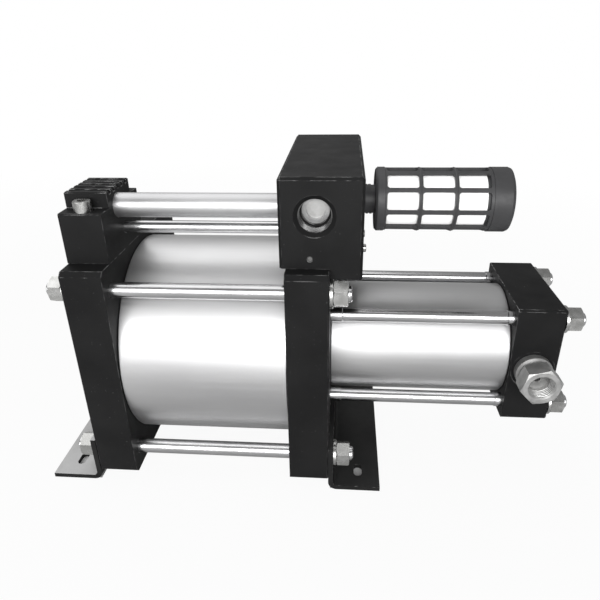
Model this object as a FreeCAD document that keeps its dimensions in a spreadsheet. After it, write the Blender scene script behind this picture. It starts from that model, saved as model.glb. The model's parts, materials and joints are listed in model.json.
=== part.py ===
import FreeCAD, Part
import math
import os
import Sketcher

# Air-driven gas booster pump. X runs along the barrels, Z is up, and the origin is on the floor
# midway between the two slots of the left foot. All sizes are in millimetres.
# The pieces are laid out from the middle of the drive barrel and shifted to the origin at the end.

V = FreeCAD.Vector
doc = FreeCAD.newDocument("air_driven_pump")
sheet = doc.addObject("Spreadsheet::Sheet", "Dims")
HEX_RADIUS = 1.0 / math.sqrt(3.0)


# A size that knows its value and the text of its expression
class Size:
    def __init__(self, value, text):
        self.value = float(value)
        self.text = text

    def __add__(self, other):
        other = as_size(other)
        return Size(self.value + other.value, "(%s + %s)" % (self.text, other.text))

    def __sub__(self, other):
        other = as_size(other)
        return Size(self.value - other.value, "(%s - %s)" % (self.text, other.text))

    def __mul__(self, other):
        other = as_size(other)
        return Size(self.value * other.value, "(%s * %s)" % (self.text, other.text))

    def __truediv__(self, other):
        other = as_size(other)
        return Size(self.value / other.value, "(%s / %s)" % (self.text, other.text))

    def __neg__(self):
        return Size(-self.value, "(0 - %s)" % self.text)

    def __radd__(self, other):
        return as_size(other) + self

    def __rsub__(self, other):
        return as_size(other) - self

    def __rmul__(self, other):
        return as_size(other) * self


def as_size(thing):
    if isinstance(thing, Size):
        return thing
    return Size(thing, "%.6f" % thing if thing >= 0 else "(0 - %.6f)" % -thing)


row_count = 0


def dim(alias, value, note):
    global row_count
    row_count += 1
    sheet.set("A%d" % row_count, note)
    sheet.set("B%d" % row_count, "%s" % value)
    sheet.setAlias("B%d" % row_count, alias)
    return Size(value, "Dims.%s" % alias)


# Driving dimensions: barrels, caps and stance
barrel_len = dim("barrel_len", 131, "drive barrel length between the caps")
drive_bore = dim("drive_bore", 160, "drive barrel bore")
drive_wall = dim("drive_wall", 6.5, "drive barrel wall")
booster_len = dim("booster_len", 144, "booster barrel length between the caps")
booster_bore = dim("booster_bore", 80, "booster barrel bore")
booster_wall = dim("booster_wall", 7, "booster barrel wall")
barrel_chamfer = dim("barrel_chamfer", 0.8, "chamfer on the barrel ends")
cap_t = dim("cap_t", 32, "thickness of each drive cap")
cap_w = dim("cap_w", 176, "drive cap size across")
cap_tall = dim("cap_tall", 186, "drive cap size up")
cap_chamfer = dim("cap_chamfer", 3.5, "corner chamfer of the drive caps")
end_cap_t = dim("end_cap_t", 37, "thickness of the booster end cap")
end_cap_w = dim("end_cap_w", 98, "booster end cap size across")
end_cap_tall = dim("end_cap_tall", 102, "booster end cap size up")
end_cap_chamfer = dim("end_cap_chamfer", 1.5, "corner chamfer of the end cap")
edge_break = dim("edge_break", 0.8, "small chamfer on machined outlines")
cap_lift = dim("cap_lift", 8, "gap between the floor and the drive caps")
boss_len = dim("boss_len", 6, "length of the boss inside the drive barrel")
mid_boss_len = dim("mid_boss_len", 14, "length of the middle cap boss in the booster barrel")
end_boss_len = dim("end_boss_len", 12, "length of the end cap boss in the booster barrel")
boss_clear = dim("boss_clear", 0.1, "radial clearance of a boss in its barrel")
ring_thick = dim("ring_thick", 3, "section of the static seal rings")
ring_gap = dim("ring_gap", 0.05, "clearance around a static seal ring")

# Driving dimensions: tie rods, nuts, washers and feet
rod_side = dim("rod_side", 14, "drive tie rod in from the side of its cap")
rod_inset = dim("rod_inset", 19, "drive tie rod in from the top and bottom of its cap")
booster_pitch = dim("booster_pitch", 78, "spacing of the booster tie rods both ways")
rod_d = dim("rod_d", 12, "tie rod and thread diameter")
shank_d = dim("shank_d", 11, "plain shank of the booster tie rods")
rod_hole_gap = dim("rod_hole_gap", 0.3, "radial clearance of a rod in a cap")
nut_gap = dim("nut_gap", 0.03, "radial clearance between thread and nut")
nut_af = dim("nut_af", 18, "nut size across flats")
nut_t = dim("nut_t", 10.8, "nut thickness")
washer_d = dim("washer_d", 22, "washer outer diameter")
washer_t = dim("washer_t", 2.5, "washer thickness")
rod_end = dim("rod_end", 3, "rod length standing out of its nut")
rod_in_cap = dim("rod_in_cap", 18, "depth of the booster rod thread in the middle cap")
thread_show = dim("thread_show", 9, "booster rod thread seen beside the middle cap")
thread_far = dim("thread_far", 5, "booster rod thread seen beside the end cap")
foot_t = dim("foot_t", 4, "thickness of the foot plate")
foot_len = dim("foot_len", 43, "length of the foot flange")
foot_rise = dim("foot_rise", 42, "height of the foot upright")
foot_bend = dim("foot_bend", 3, "inner bend radius of the foot")
slot_pitch = dim("slot_pitch", 137, "distance between the slots of one foot")
slot_out = dim("slot_out", 25, "slot centre out from the cap face")
slot_w = dim("slot_w", 7, "slot width")
slot_len = dim("slot_len", 14, "slot length end to end")

# Driving dimensions: finned manifold, tubes and valve block
manifold_len = dim("manifold_len", 74, "finned manifold length front to back")
manifold_front = dim("manifold_front", 18, "set back of the manifold from the cap front")
manifold_over = dim("manifold_over", 4.95, "finned manifold above the air transfer tube")
ledge_len = dim("ledge_len", 15, "screw ledge length at each end of the manifold")
ledge_drop = dim("ledge_drop", 12, "ledge level below the fin tops")
fin_pitch = dim("fin_pitch", 8, "fin spacing")
fin_gap = dim("fin_gap", 4, "width of the slot between fins")
fin_depth = dim("fin_depth", 3, "depth of the slots between fins")
tube_back = dim("tube_back", 32, "air transfer tube behind the front of the manifold")
tube_rise = dim("tube_rise", 35.8, "air transfer tube above the drive caps")
tube_d = dim("tube_d", 18.5, "air transfer tube diameter")
tube_wall = dim("tube_wall", 1.75, "air transfer tube wall")
pilot_side = dim("pilot_side", 8.5, "pilot tube behind the air transfer tube")
pilot_below = dim("pilot_below", 20, "pilot tube below the air transfer tube")
pilot_d = dim("pilot_d", 9.5, "pilot tube diameter")
pilot_wall = dim("pilot_wall", 1.5, "pilot tube wall")
socket_in = dim("socket_in", 12, "tube depth inside a socket")
socket_wall = dim("socket_wall", 1.5, "wall between the air tube socket and the sleeve bore")
socket_gap = dim("socket_gap", 0.1, "radial clearance of a tube in its socket")
tube_end_gap = dim("tube_end_gap", 0.3, "gap between a tube end and its socket floor")
tube_ring_t = dim("tube_ring_t", 1.6, "section of the tube seal rings")
block_left = dim("block_left", 4.5, "valve block overhang towards the drive barrel")
block_w = dim("block_w", 59.5, "valve block width")
block_front = dim("block_front", 14, "set back of the valve block from the cap front")
barrel_relief = dim("barrel_relief", 0.3, "clearance between valve block and drive barrel")
block_tall = dim("block_tall", 65.5, "valve block height")
block_chamfer = dim("block_chamfer", 2, "chamfer on the valve block")
lip_drop = dim("lip_drop", 7.5, "lip below the valve block beside the cap")
lip_gap = dim("lip_gap", 0.1, "gap between lip and cap")
spool_x = dim("spool_x", 25.5, "spool axis from the left side of the valve block")
spool_up = dim("spool_up", 38.5, "spool axis above the underside of the valve block")
port_r = dim("port_r", 9.3, "thread minor radius of the gas ports")
inlet_r = dim("inlet_r", 12.05, "thread minor radius of the air inlet")
inlet_depth = dim("inlet_depth", 17, "depth of the air inlet")
inlet_chamfer = dim("inlet_chamfer", 3, "chamfer at the mouth of the air inlet")
inlet_web = dim("inlet_web", 2, "web between the air inlet and the sleeve")
inlet_hole_r = dim("inlet_hole_r", 10, "radius of the hole through the inlet web")
sleeve_d = dim("sleeve_d", 34, "valve sleeve outer diameter")
sleeve_id = dim("sleeve_id", 20, "spool diameter bore of the sleeve")
pilot_bore = dim("pilot_bore", 28, "pilot piston bore of the sleeve")
sleeve_len = dim("sleeve_len", 134, "valve sleeve length")
sleeve_fit = dim("sleeve_fit", 0.03, "radial clearance of the sleeve in the block")
spool_fit = dim("spool_fit", 0.04, "radial clearance of the spool")
spool_travel = dim("spool_travel", 12, "travel of the spool")
plug_len = dim("plug_len", 17, "length of the valve end plug in the block")
front_lip = dim("front_lip", 3, "stop for the spool at the front of the sleeve")
sleeve_ring_t = dim("sleeve_ring_t", 2.4, "width of the rings around the sleeve")
sleeve_groove = dim("sleeve_groove", 1.9, "depth of the grooves around the sleeve")
sleeve_hole_r = dim("sleeve_hole_r", 3, "radius of the ports of the sleeve")
spool_waist = dim("spool_waist", 6.5, "radius of the spool between its lands")
land_w = dim("land_w", 9, "width of each spool land")
spool_head = dim("spool_head", 12, "length of the pilot piston of the spool")
spool_ring_t = dim("spool_ring_t", 2, "section of the spool rings")
plug_head = dim("plug_head", 5, "head of the valve end plug behind the block")
gallery_r = dim("gallery_r", 2, "radius of the pilot gallery")
branch_r = dim("branch_r", 1.7, "radius of the pilot branches")
air_r = dim("air_r", 5, "radius of the upright air drillings")
air_cross_r = dim("air_cross_r", 4.5, "radius of the level air drillings")
air_level = dim("air_level", 62, "level air drillings above the barrel axis")
air_back = dim("air_back", 10.5, "upright air drilling in from the face of the left cap")
pilot_back = dim("pilot_back", 17.5, "upright pilot drilling in from the face of the left cap")
port_b_in = dim("port_b_in", 9.5, "upright air drilling in from the inner face of the middle cap")
port_b_back = dim("port_b_back", 0.5, "upright air drilling behind its row of sleeve ports")
gallery_up = dim("gallery_up", 7.5, "pilot gallery above the underside of the valve block")
gallery_off = dim("gallery_off", 3.5, "pilot gallery beside the spool axis")
exhaust_off = dim("exhaust_off", 5, "exhaust drilling behind the silencer axis")
supply_off = dim("supply_off", 3, "air drilling in front of the air tube axis")
lip_screw_r = dim("lip_screw_r", 2, "radius of the screws in the lip of the valve block")
lip_screw_in = dim("lip_screw_in", 8, "thread length of the lip screws in the cap")
lip_screw_from = dim("lip_screw_from", 54, "first lip screw behind the front of the valve block")
lip_screw_step = dim("lip_screw_step", 35, "spacing of the lip screws")
screw_r = dim("screw_r", 4, "radius of the manifold screws")
screw_in = dim("screw_in", 14, "thread length of the manifold screws in the cap")

# Driving dimensions: silencer
sil_back = dim("sil_back", 46, "silencer axis behind the front of the valve block")
sil_root = dim("sil_root", 3, "wall between the silencer thread and the sleeve bore")
sil_d = dim("sil_d", 47, "silencer outer diameter")
sil_neck = dim("sil_neck", 8.5, "visible length of the threaded neck")
sil_body = dim("sil_body", 82.5, "length of the silencer cage")
sil_cap = dim("sil_cap", 14.8, "length of the silencer end cap")
sil_thread_d = dim("sil_thread_d", 20.9, "silencer thread diameter")
sil_wall = dim("sil_wall", 3, "cage wall")
sil_collar = dim("sil_collar", 8, "collar before the first windows")
window_len = dim("window_len", 22.4, "window length")
window_pitch = dim("window_pitch", 25, "window spacing")
window_w = dim("window_w", 12.5, "window width")

# Driving dimensions: check valves
valve_drop = dim("valve_drop", 3, "check valve axis below the barrel axis")
valve_collar_d = dim("valve_collar_d", 29, "collar diameter of a check valve")
valve_collar_t = dim("valve_collar_t", 7, "collar thickness")
valve_neck_d = dim("valve_neck_d", 25, "neck diameter")
valve_neck_t = dim("valve_neck_t", 4, "neck length")
valve_af = dim("valve_af", 28, "hexagon across flats")
valve_hex_t = dim("valve_hex_t", 14.5, "hexagon length")
valve_port_in = dim("valve_port_in", 15, "depth of the gas port")
valve_in = dim("valve_in", 16, "thread length of the check valve in the cap")
valve_thread_d = dim("valve_thread_d", 21, "thread diameter in the cap")
poppet_d = dim("poppet_d", 12, "poppet diameter")
poppet_len = dim("poppet_len", 12, "poppet length")
seat_t = dim("seat_t", 4, "thickness of the seat ring")
gas_r = dim("gas_r", 3, "radius of the gas passages")
gas_cross_r = dim("gas_cross_r", 2.5, "radius of the short gas drillings")
run_gap = dim("run_gap", 0.06, "radial clearance of running pieces")
face_gap = dim("face_gap", 0.05, "gap between a piece and its stop at rest")

# Driving dimensions: pistons, rod and pilot valves
piston_t = dim("piston_t", 26, "drive piston thickness")
booster_piston_t = dim("booster_piston_t", 30, "booster piston thickness")
piston_gap = dim("piston_gap", 0.6, "radial clearance of the piston bodies")
piston_rod_d = dim("piston_rod_d", 28, "piston rod diameter")
stub_d = dim("stub_d", 20, "rod end in the drive piston")
small_stub_d = dim("small_stub_d", 16, "rod end in the booster piston")
piston_travel = dim("piston_travel", 42.5, "piston travel each way")
rod_nut_af = dim("rod_nut_af", 30, "drive piston nut across flats")
rod_nut_t = dim("rod_nut_t", 14, "drive piston nut thickness")
small_nut_af = dim("small_nut_af", 24, "booster piston nut across flats")
small_nut_t = dim("small_nut_t", 8, "booster piston nut thickness")
bush_d = dim("bush_d", 36, "rod bush outer diameter")
bush_len = dim("bush_len", 22, "rod bush length")
rod_seal_t = dim("rod_seal_t", 5, "rod seal width")
pin_d = dim("pin_d", 6, "pilot pin diameter")
pin_out = dim("pin_out", 3.5, "pilot pin length in the chamber")
pin_head_d = dim("pin_head_d", 12, "pilot pin head diameter")
pin_head_t = dim("pin_head_t", 5, "pilot pin head thickness")
pin_bore_d = dim("pin_bore_d", 13, "pilot valve bore")
pin_plug_t = dim("pin_plug_t", 9.5, "pilot plug length")
spring_room = dim("spring_room", 11, "room for the spring behind a pilot pin")
nut_pocket_r = dim("nut_pocket_r", 21, "radius of the pocket for the piston nut")
left_pin_up = dim("left_pin_up", 44, "left pilot pin above the axis")
right_pin_back = dim("right_pin_back", 60, "right pilot pin behind the front of the valve block")
right_pin_up = dim("right_pin_up", 55, "right pilot pin above the axis")
doc.recompute()

# Positions that follow from the sizes
cap_in = barrel_len / 2
cap_out = cap_in + cap_t
boss_face = cap_in - boss_len
end_in = cap_out + booster_len
end_out = end_in + end_cap_t
cap_top = cap_tall / 2
axis_height = cap_lift + cap_top
shift = cap_out + slot_out
rod_y = cap_w / 2 - rod_side
rod_z = cap_top - rod_inset
half_booster = booster_pitch / 2
manifold_y0 = -cap_w / 2 + manifold_front
manifold_y1 = manifold_y0 + manifold_len
tube_y = manifold_y0 + tube_back
tube_up = cap_top + tube_rise
pilot_y = tube_y + pilot_side
pilot_up = tube_up - pilot_below
air_x = cap_out - air_back
pilot_x = cap_out - pilot_back
block_x0 = cap_in - block_left
block_x1 = block_x0 + block_w
block_y0 = -cap_w / 2 + block_front
block_y1 = block_y0 + inlet_depth + sleeve_len + plug_len
spool_at = block_x0 + spool_x
spool_z = cap_top + spool_up
sil_y = block_y0 + sil_back
sil_in = block_x1 - spool_at - sleeve_d / 2 - sil_root
right_pin_y = block_y0 + right_pin_back
sleeve_y0 = block_y0 + inlet_depth
sleeve_y1 = sleeve_y0 + sleeve_len
gallery_x = spool_at - gallery_off
gallery_z = cap_top + gallery_up

# Rows along the valve sleeve, each as a share of its length
hole_rows = [sleeve_len * share for share in (0.108, 0.269, 0.429, 0.59)]
ring_spots = [sleeve_len * share for share in (0.03, 0.187, 0.35, 0.507, 0.672, 0.955)]
land_starts = [sleeve_len * share for share in (0, 0.2015, 0.373, 0.537)]
step_at = sleeve_len * 0.7
pilot_hole_at = sleeve_len * 0.873
gallery_end = sleeve_y0 + pilot_hole_at + gallery_r
port_b_x = cap_in + port_b_in
port_b_y = sleeve_y0 + hole_rows[2] + port_b_back
nodes = []


# Binding a property to the sheet
def bind(obj, prop, size):
    size = as_size(size)
    if "Dims." in size.text:
        obj.setExpression(prop, size.text)
    elif "." not in prop:
        setattr(obj, prop, size.value)
    else:
        obj.setExpression(prop, size.text)


def place(obj, x=0, y=0, z=0):
    bind(obj, "Placement.Base.x", x)
    bind(obj, "Placement.Base.y", y)
    bind(obj, "Placement.Base.z", z)
    return obj


AXIS_TURN = {
    "X": FreeCAD.Rotation(V(0, 1, 0), 90),
    "Y": FreeCAD.Rotation(V(1, 0, 0), -90),
    "Z": FreeCAD.Rotation(),
}
PLANE = {"X": "YZ_Plane", "Y": "XZ_Plane", "Z": "XY_Plane"}
serial = 0


def fresh(kind, stem):
    global serial
    serial += 1
    return doc.addObject(kind, "%s_%d" % (stem, serial))


# A drilled hole or plain rod, starting at a point and running along +axis
def rod(axis, x, y, z, radius, length):
    obj = fresh("Part::Cylinder", "drill")
    obj.Placement = FreeCAD.Placement(V(), AXIS_TURN[axis])
    bind(obj, "Radius", radius)
    bind(obj, "Height", length)
    return place(obj, x, y, z)


def box(x, y, z, sx, sy, sz):
    obj = fresh("Part::Box", "box")
    bind(obj, "Length", sx)
    bind(obj, "Width", sy)
    bind(obj, "Height", sz)
    return place(obj, x, y, z)


def joined(parts, refine=True):
    if len(parts) == 1:
        return parts[0]
    obj = fresh("Part::MultiFuse", "joined")
    obj.Shapes = parts
    obj.Refine = refine
    return obj


def cut(base, tools):
    obj = fresh("Part::Cut", "cut")
    obj.Base = base
    obj.Tool = joined(tools, False)
    obj.Refine = True
    return obj


def origin_part(body, role):
    return [o for o in body.Origin.OriginFeatures if o.Role == role][0]


# A closed outline whose corners are all held by the sheet
def outline(body, plane, points, shift=None):
    sketch = body.newObject("Sketcher::SketchObject", body.Name + "_outline")
    sketch.AttachmentSupport = (origin_part(body, plane), [""])
    sketch.MapMode = "FlatFace"
    if shift is not None:
        bind(sketch, "AttachmentOffset.Base.z", shift)
    points = [(as_size(a), as_size(b)) for a, b in points]
    count = len(points)
    for i in range(count):
        a = points[i]
        b = points[(i + 1) % count]
        sketch.addGeometry(Part.LineSegment(V(a[0].value, a[1].value, 0), V(b[0].value, b[1].value, 0)))
    for i in range(count):
        sketch.addConstraint(Sketcher.Constraint("Coincident", i, 2, (i + 1) % count, 1))
    for i, (a, b) in enumerate(points):
        for kind, size in (("DistanceX", a), ("DistanceY", b)):
            index = sketch.addConstraint(Sketcher.Constraint(kind, -1, 1, i, 1, size.value))
            if "Dims." in size.text:
                sketch.setExpression("Constraints[%d]" % index, size.text)
    return sketch


# A turned piece: (position along the axis, radius) points
def turned(stem, axis, points):
    body = fresh("PartDesign::Body", stem)
    if axis == "X":
        sketch = outline(body, "XY_Plane", points)
    elif axis == "Y":
        sketch = outline(body, "XY_Plane", [(r, a) for a, r in points])
    else:
        sketch = outline(body, "XZ_Plane", [(r, a) for a, r in points])
    turn = body.newObject("PartDesign::Revolution", body.Name + "_turn")
    turn.Profile = sketch
    turn.ReferenceAxis = (origin_part(body, axis + "_Axis"), [""])
    turn.Angle = 360.0
    body.Tip = turn
    return body


# A seal ring, squeezed flat where it meets its groove and its bore
def ring(axis, x, y, z, radius, thick):
    half = as_size(thick) / 2
    flat = half * 0.45
    body = turned("seal_ring", axis, [
        (-half, radius - flat), (-flat, radius - half), (flat, radius - half), (half, radius - flat),
        (half, radius + flat), (flat, radius + half), (-flat, radius + half), (-half, radius + flat)])
    return place(body, x, y, z)


# A plate or bar pushed out of an outline along an axis
def pushed(stem, axis, points, start, length):
    body = fresh("PartDesign::Body", stem)
    shift = -(as_size(start) + length) if axis == "Y" else start
    sketch = outline(body, PLANE[axis], points, shift)
    pad = body.newObject("PartDesign::Pad", body.Name + "_pad")
    pad.Profile = sketch
    bind(pad, "Length", length)
    body.Tip = pad
    return body


def rectangle(a0, a1, b0, b1):
    return [(a0, b0), (a1, b0), (a1, b1), (a0, b1)]


# Chamfers and fillets on the edges that a test picks
def dressed(body, kind, size, test):
    doc.recompute()
    tip = body.Tip
    names = []
    for i, edge in enumerate(tip.Shape.Edges):
        ends = [v.Point for v in edge.Vertexes]
        if len(ends) == 2 and edge.Curve.TypeId == "Part::GeomLine" and test(ends[0], ends[1]):
            names.append("Edge%d" % (i + 1))
    feature = body.newObject("PartDesign::" + kind, body.Name + "_" + kind.lower())
    feature.Base = (tip, names)
    bind(feature, "Size" if kind == "Chamfer" else "Radius", size)
    body.Tip = feature
    return body


def along(axis, p, q):
    d = q - p
    parts = {"X": d.x, "Y": d.y, "Z": d.z}
    return abs(abs(parts[axis]) - d.Length) < 1e-6


# Straight hexagonal bar along an axis, with its end corners turned off
def hexagon(axis, across, start, length, bevel=1.0):
    prism = fresh("Part::Prism", "hex")
    prism.Polygon = 6
    prism.Placement = FreeCAD.Placement(V(), AXIS_TURN[axis])
    bind(prism, "Circumradius", across * HEX_RADIUS)
    bind(prism, "Height", length)
    spots = {"X": (start, 0, 0), "Y": (0, start, 0), "Z": (0, 0, start)}
    place(prism, *spots[axis])
    corner = across * HEX_RADIUS
    low = across / 2 - 0.2
    a0 = as_size(start)
    a1 = a0 + length
    envelope = turned("envelope", axis, [
        (a0, 0), (a0, low), (a0 + bevel, corner + 0.1), (a1 - bevel, corner + 0.1), (a1, low), (a1, 0)])
    common = fresh("Part::MultiCommon", "hexbar")
    common.Shapes = [prism, envelope]
    common.Refine = True
    return common


# A finished sub-part: its label is its node name
def node(label, obj, x=0, y=0, z=0):
    obj.Label = label
    place(obj, shift + x, y, z)
    nodes.append((label, obj))
    return obj


# A group of identical pieces, each at its own spot
def group(label, items):
    comp = doc.addObject("Part::Compound", label)
    comp.Links = items
    place(comp, shift, 0, 0)
    nodes.append((label, comp))
    return comp


def copy_of(master, x, y, z, turn=None):
    link = fresh("App::Link", "copy")
    link.LinkedObject = master
    link.LinkTransform = False
    if turn is not None:
        link.Placement = FreeCAD.Placement(V(), turn)
    return place(link, x, y, z)


# Boss with its seal groove, turned about X; length may point either way along X
def boss(start, length, bore, groove_at, inner):
    r = bore / 2 - boss_clear
    deep = bore / 2 - ring_thick - ring_gap
    g0 = as_size(groove_at) - ring_thick / 2 - ring_gap
    g1 = as_size(groove_at) + ring_thick / 2 + ring_gap
    return turned("boss", "X", [
        (start, inner), (start, r), (g0, r), (g0, deep), (g1, deep), (g1, r), (length, r), (length, inner)])


def seal_ring(x, bore):
    return ring("X", x, 0, axis_height, bore / 2 - ring_gap - ring_thick / 2, ring_thick - ring_gap)


corners = [(-1, -1), (1, -1), (1, 1), (-1, 1)]


def cap_plate(stem, start, thick, wide, tall, corner, outer):
    body = pushed(stem, "X", rectangle(-wide / 2, wide / 2, -tall / 2, tall / 2), start, thick)
    dressed(body, "Chamfer", corner, lambda p, q: along("X", p, q))
    face = outer.value
    return dressed(body, "Chamfer", edge_break,
                   lambda p, q: abs(p.x - face) < 1e-6 and abs(q.x - face) < 1e-6)


# Left drive cap
left_groove = -cap_in + boss_len / 2
plate = cap_plate("left_plate", -cap_out, cap_t, cap_w, cap_tall, cap_chamfer, -cap_out)
left_boss = boss(-cap_in - 1, -boss_face, drive_bore, left_groove, 0)
tools = [rod("X", -cap_out - 1, sy * rod_y, sz * rod_z, rod_d / 2 + rod_hole_gap, cap_t + 2)
         for sy, sz in corners]
nut_reach = piston_t / 2 + rod_nut_t + 2 + piston_travel + 1.5
tools.append(rod("X", -nut_reach, 0, 0, nut_pocket_r, nut_reach - boss_face + 1))
pin_step = cap_out - pin_plug_t - spring_room - pin_head_t
tools.append(rod("X", -cap_out - 1, pilot_y, left_pin_up, pin_bore_d / 2, cap_out - pin_step + 1))
tools.append(rod("X", -pin_step - 1, pilot_y, left_pin_up, pin_d / 2 + run_gap, pin_step - boss_face + 2))
tools.append(rod("Z", -pilot_x, pilot_y, left_pin_up, branch_r, cap_top - left_pin_up + 1))
tools.append(rod("Z", -air_x, tube_y, air_level - 2, air_r, cap_top - air_level + 3))
tools.append(rod("X", -air_x, tube_y, air_level, air_cross_r, air_x - boss_face + 1))
screw_spots = [manifold_y0 + ledge_len / 2, manifold_y1 - ledge_len / 2]
screw_x = -cap_out + cap_t / 2
for spot in screw_spots:
    tools.append(rod("Z", screw_x, spot, cap_top - screw_in - 2, screw_r + nut_gap, screw_in + 3))
node("drive_cap_left", cut(joined([plate, left_boss]), tools), 0, 0, axis_height)

# Middle cap, shared by both barrels
mid_face = cap_out + mid_boss_len
plate = cap_plate("mid_plate", cap_in, cap_t, cap_w, cap_tall, cap_chamfer, cap_out)
mid_boss_left = boss(boss_face, cap_in + 1, drive_bore, cap_in - boss_len / 2, 0)
mid_groove = cap_out + mid_boss_len - 7
mid_boss_right = boss(cap_out - 1, mid_face, booster_bore, mid_groove, 0)
tools = [rod("X", cap_in - 1, sy * rod_y, sz * rod_z, rod_d / 2 + rod_hole_gap, cap_t + 2)
         for sy, sz in corners]
tools += [rod("X", cap_out - rod_in_cap - 1, sy * half_booster, sz * half_booster,
              rod_d / 2 + nut_gap, rod_in_cap + 2) for sy, sz in corners]
tools.append(rod("X", boss_face - 1, 0, 0, piston_rod_d / 2 + 0.4, mid_face - boss_face + 2))
seal_pocket = rod_seal_t + 0.5
tools.append(rod("X", boss_face - 1, 0, 0, bush_d / 2, seal_pocket + 1))
bush_floor = mid_face - seal_pocket - bush_len
tools.append(rod("X", bush_floor, 0, 0, bush_d / 2, seal_pocket + bush_len + 1))
tools.append(rod("X", pin_step, right_pin_y, right_pin_up, pin_bore_d / 2, cap_out - pin_step + 1))
tools.append(rod("X", boss_face - 1, right_pin_y, right_pin_up, pin_d / 2 + run_gap, pin_step - boss_face + 2))
tools.append(rod("Z", gallery_x, right_pin_y, right_pin_up, branch_r, cap_top - right_pin_up + 1))
tools.append(rod("Z", port_b_x, port_b_y, air_level - 2, air_r, cap_top - air_level + 3))
tools.append(rod("X", boss_face - 1, port_b_y, air_level, air_cross_r, port_b_x - boss_face + 1))
lip_screw_z = cap_top - lip_drop / 2
lip_screws_y = [block_y0 + lip_screw_from + lip_screw_step * i for i in range(3)]
for y in lip_screws_y:
    tools.append(rod("X", cap_out - lip_screw_in - 1, y, lip_screw_z, lip_screw_r + nut_gap, lip_screw_in + 2))
node("drive_cap_middle", cut(joined([plate, mid_boss_left, mid_boss_right]), tools), 0, 0, axis_height)


# Barrels and their seals
def barrel(label, bore, wall, length, x):
    r0 = bore / 2
    r1 = r0 + wall
    c = barrel_chamfer
    half = length / 2
    body = turned(label, "X", [
        (-half, r0 + c), (-half, r1 - c), (-half + c, r1), (half - c, r1), (half, r1 - c),
        (half, r0 + c), (half - c, r0), (-half + c, r0)])
    return node(label, body, x, 0, axis_height)


barrel("drive_barrel", drive_bore, drive_wall, barrel_len, 0)
barrel("booster_barrel", booster_bore, booster_wall, booster_len, cap_out + booster_len / 2)
group("drive_barrel_seals", [seal_ring(left_groove, drive_bore), seal_ring(cap_in - boss_len / 2, drive_bore)])
end_groove = end_in - end_boss_len + 7
group("booster_barrel_seals", [seal_ring(mid_groove, booster_bore), seal_ring(end_groove, booster_bore)])


# Booster end cap with the two check valve ports
valve_x = end_in + end_cap_t / 2
pocket_floor = end_cap_w / 2 - valve_in - seat_t
chamber_face = end_in - end_boss_len
plate = cap_plate("end_plate", end_in, end_cap_t, end_cap_w, end_cap_tall, end_cap_chamfer, end_out)
end_boss = boss(chamber_face, end_in + 1, booster_bore, end_groove, 0)
tools = [rod("X", end_in - 1, sy * half_booster, sz * half_booster, rod_d / 2 + rod_hole_gap, end_cap_t + 2)
         for sy, sz in corners]
tools.append(rod("Y", valve_x, -end_cap_w / 2 - 1, -valve_drop, valve_thread_d / 2 + nut_gap,
                 end_cap_w / 2 - pocket_floor + 1))
tools.append(rod("Y", valve_x, pocket_floor, -valve_drop, valve_thread_d / 2 + nut_gap,
                 end_cap_w / 2 - pocket_floor + 1))
spot_face = as_size(0.6)
tools.append(rod("Y", valve_x, -end_cap_w / 2 - 1, -valve_drop, valve_collar_d / 2 + 2.5, spot_face + 1))
tools.append(rod("Y", valve_x, end_cap_w / 2 - spot_face, -valve_drop, valve_collar_d / 2 + 2.5, spot_face + 1))
collar_ring_t = as_size(1.6)
recess_r = valve_thread_d / 2 + collar_ring_t + 0.2
recess = spot_face + collar_ring_t + 2 * ring_gap
tools.append(rod("Y", valve_x, -end_cap_w / 2 - 1, -valve_drop, recess_r, recess + 1))
tools.append(rod("Y", valve_x, end_cap_w / 2 - recess, -valve_drop, recess_r, recess + 1))
gas_y = pocket_floor - gas_r - 2
for sy in (-1, 1):
    tools.append(rod("X", chamber_face - 1, sy * gas_y, -valve_drop, gas_r, valve_x - chamber_face + 2))
gas_reach = pocket_floor - gas_y + 1.5
tools.append(rod("Y", valve_x, -pocket_floor - 0.5, -valve_drop, gas_cross_r, gas_reach))
tools.append(rod("Y", valve_x, gas_y - 1, -valve_drop, gas_cross_r, gas_reach))
node("booster_end_cap", cut(joined([plate, end_boss]), tools), 0, 0, axis_height)

# Tie rods, nuts and washers
seat_out = cap_out + washer_t + nut_t + rod_end
rod_chamfer = as_size(1)


def plain_rod(extra):
    half = seat_out + extra
    r = rod_d / 2
    return turned("tie_rod", "X", [
        (-half, 0), (-half, r - rod_chamfer), (-half + rod_chamfer, r), (half - rod_chamfer, r),
        (half, r - rod_chamfer), (half, 0)])


upper_rod = plain_rod(as_size(0))
lower_rod = plain_rod(foot_t)
group("drive_tie_rods", [
    copy_of(lower_rod if sz < 0 else upper_rod, 0, sy * rod_y, axis_height + sz * rod_z)
    for sy, sz in corners])
far_end = end_out + washer_t + nut_t + rod_end
shank_x0 = cap_out + thread_show
shank_x1 = end_in - thread_far
booster_rod = turned("booster_rod", "X", [
    (cap_out - rod_in_cap, 0), (cap_out - rod_in_cap, rod_d / 2 - rod_chamfer),
    (cap_out - rod_in_cap + rod_chamfer, rod_d / 2), (shank_x0, rod_d / 2), (shank_x0 + 0.5, shank_d / 2),
    (shank_x1 - 0.5, shank_d / 2), (shank_x1, rod_d / 2), (far_end - rod_chamfer, rod_d / 2),
    (far_end, rod_d / 2 - rod_chamfer), (far_end, 0)])
group("booster_tie_rods", [
    copy_of(booster_rod, 0, sy * half_booster, axis_height + sz * half_booster) for sy, sz in corners])
nut_hole = rod("X", -1, 0, 0, rod_d / 2 + nut_gap, nut_t + 2)
nut = cut(hexagon("X", nut_af, 0, nut_t), [nut_hole])
washer_bevel = as_size(0.4)
washer = turned("washer", "X", [
    (0, rod_d / 2 + 0.5), (0, washer_d / 2), (washer_t - washer_bevel, washer_d / 2),
    (washer_t, washer_d / 2 - washer_bevel), (washer_t, rod_d / 2 + 0.5)])
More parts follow.
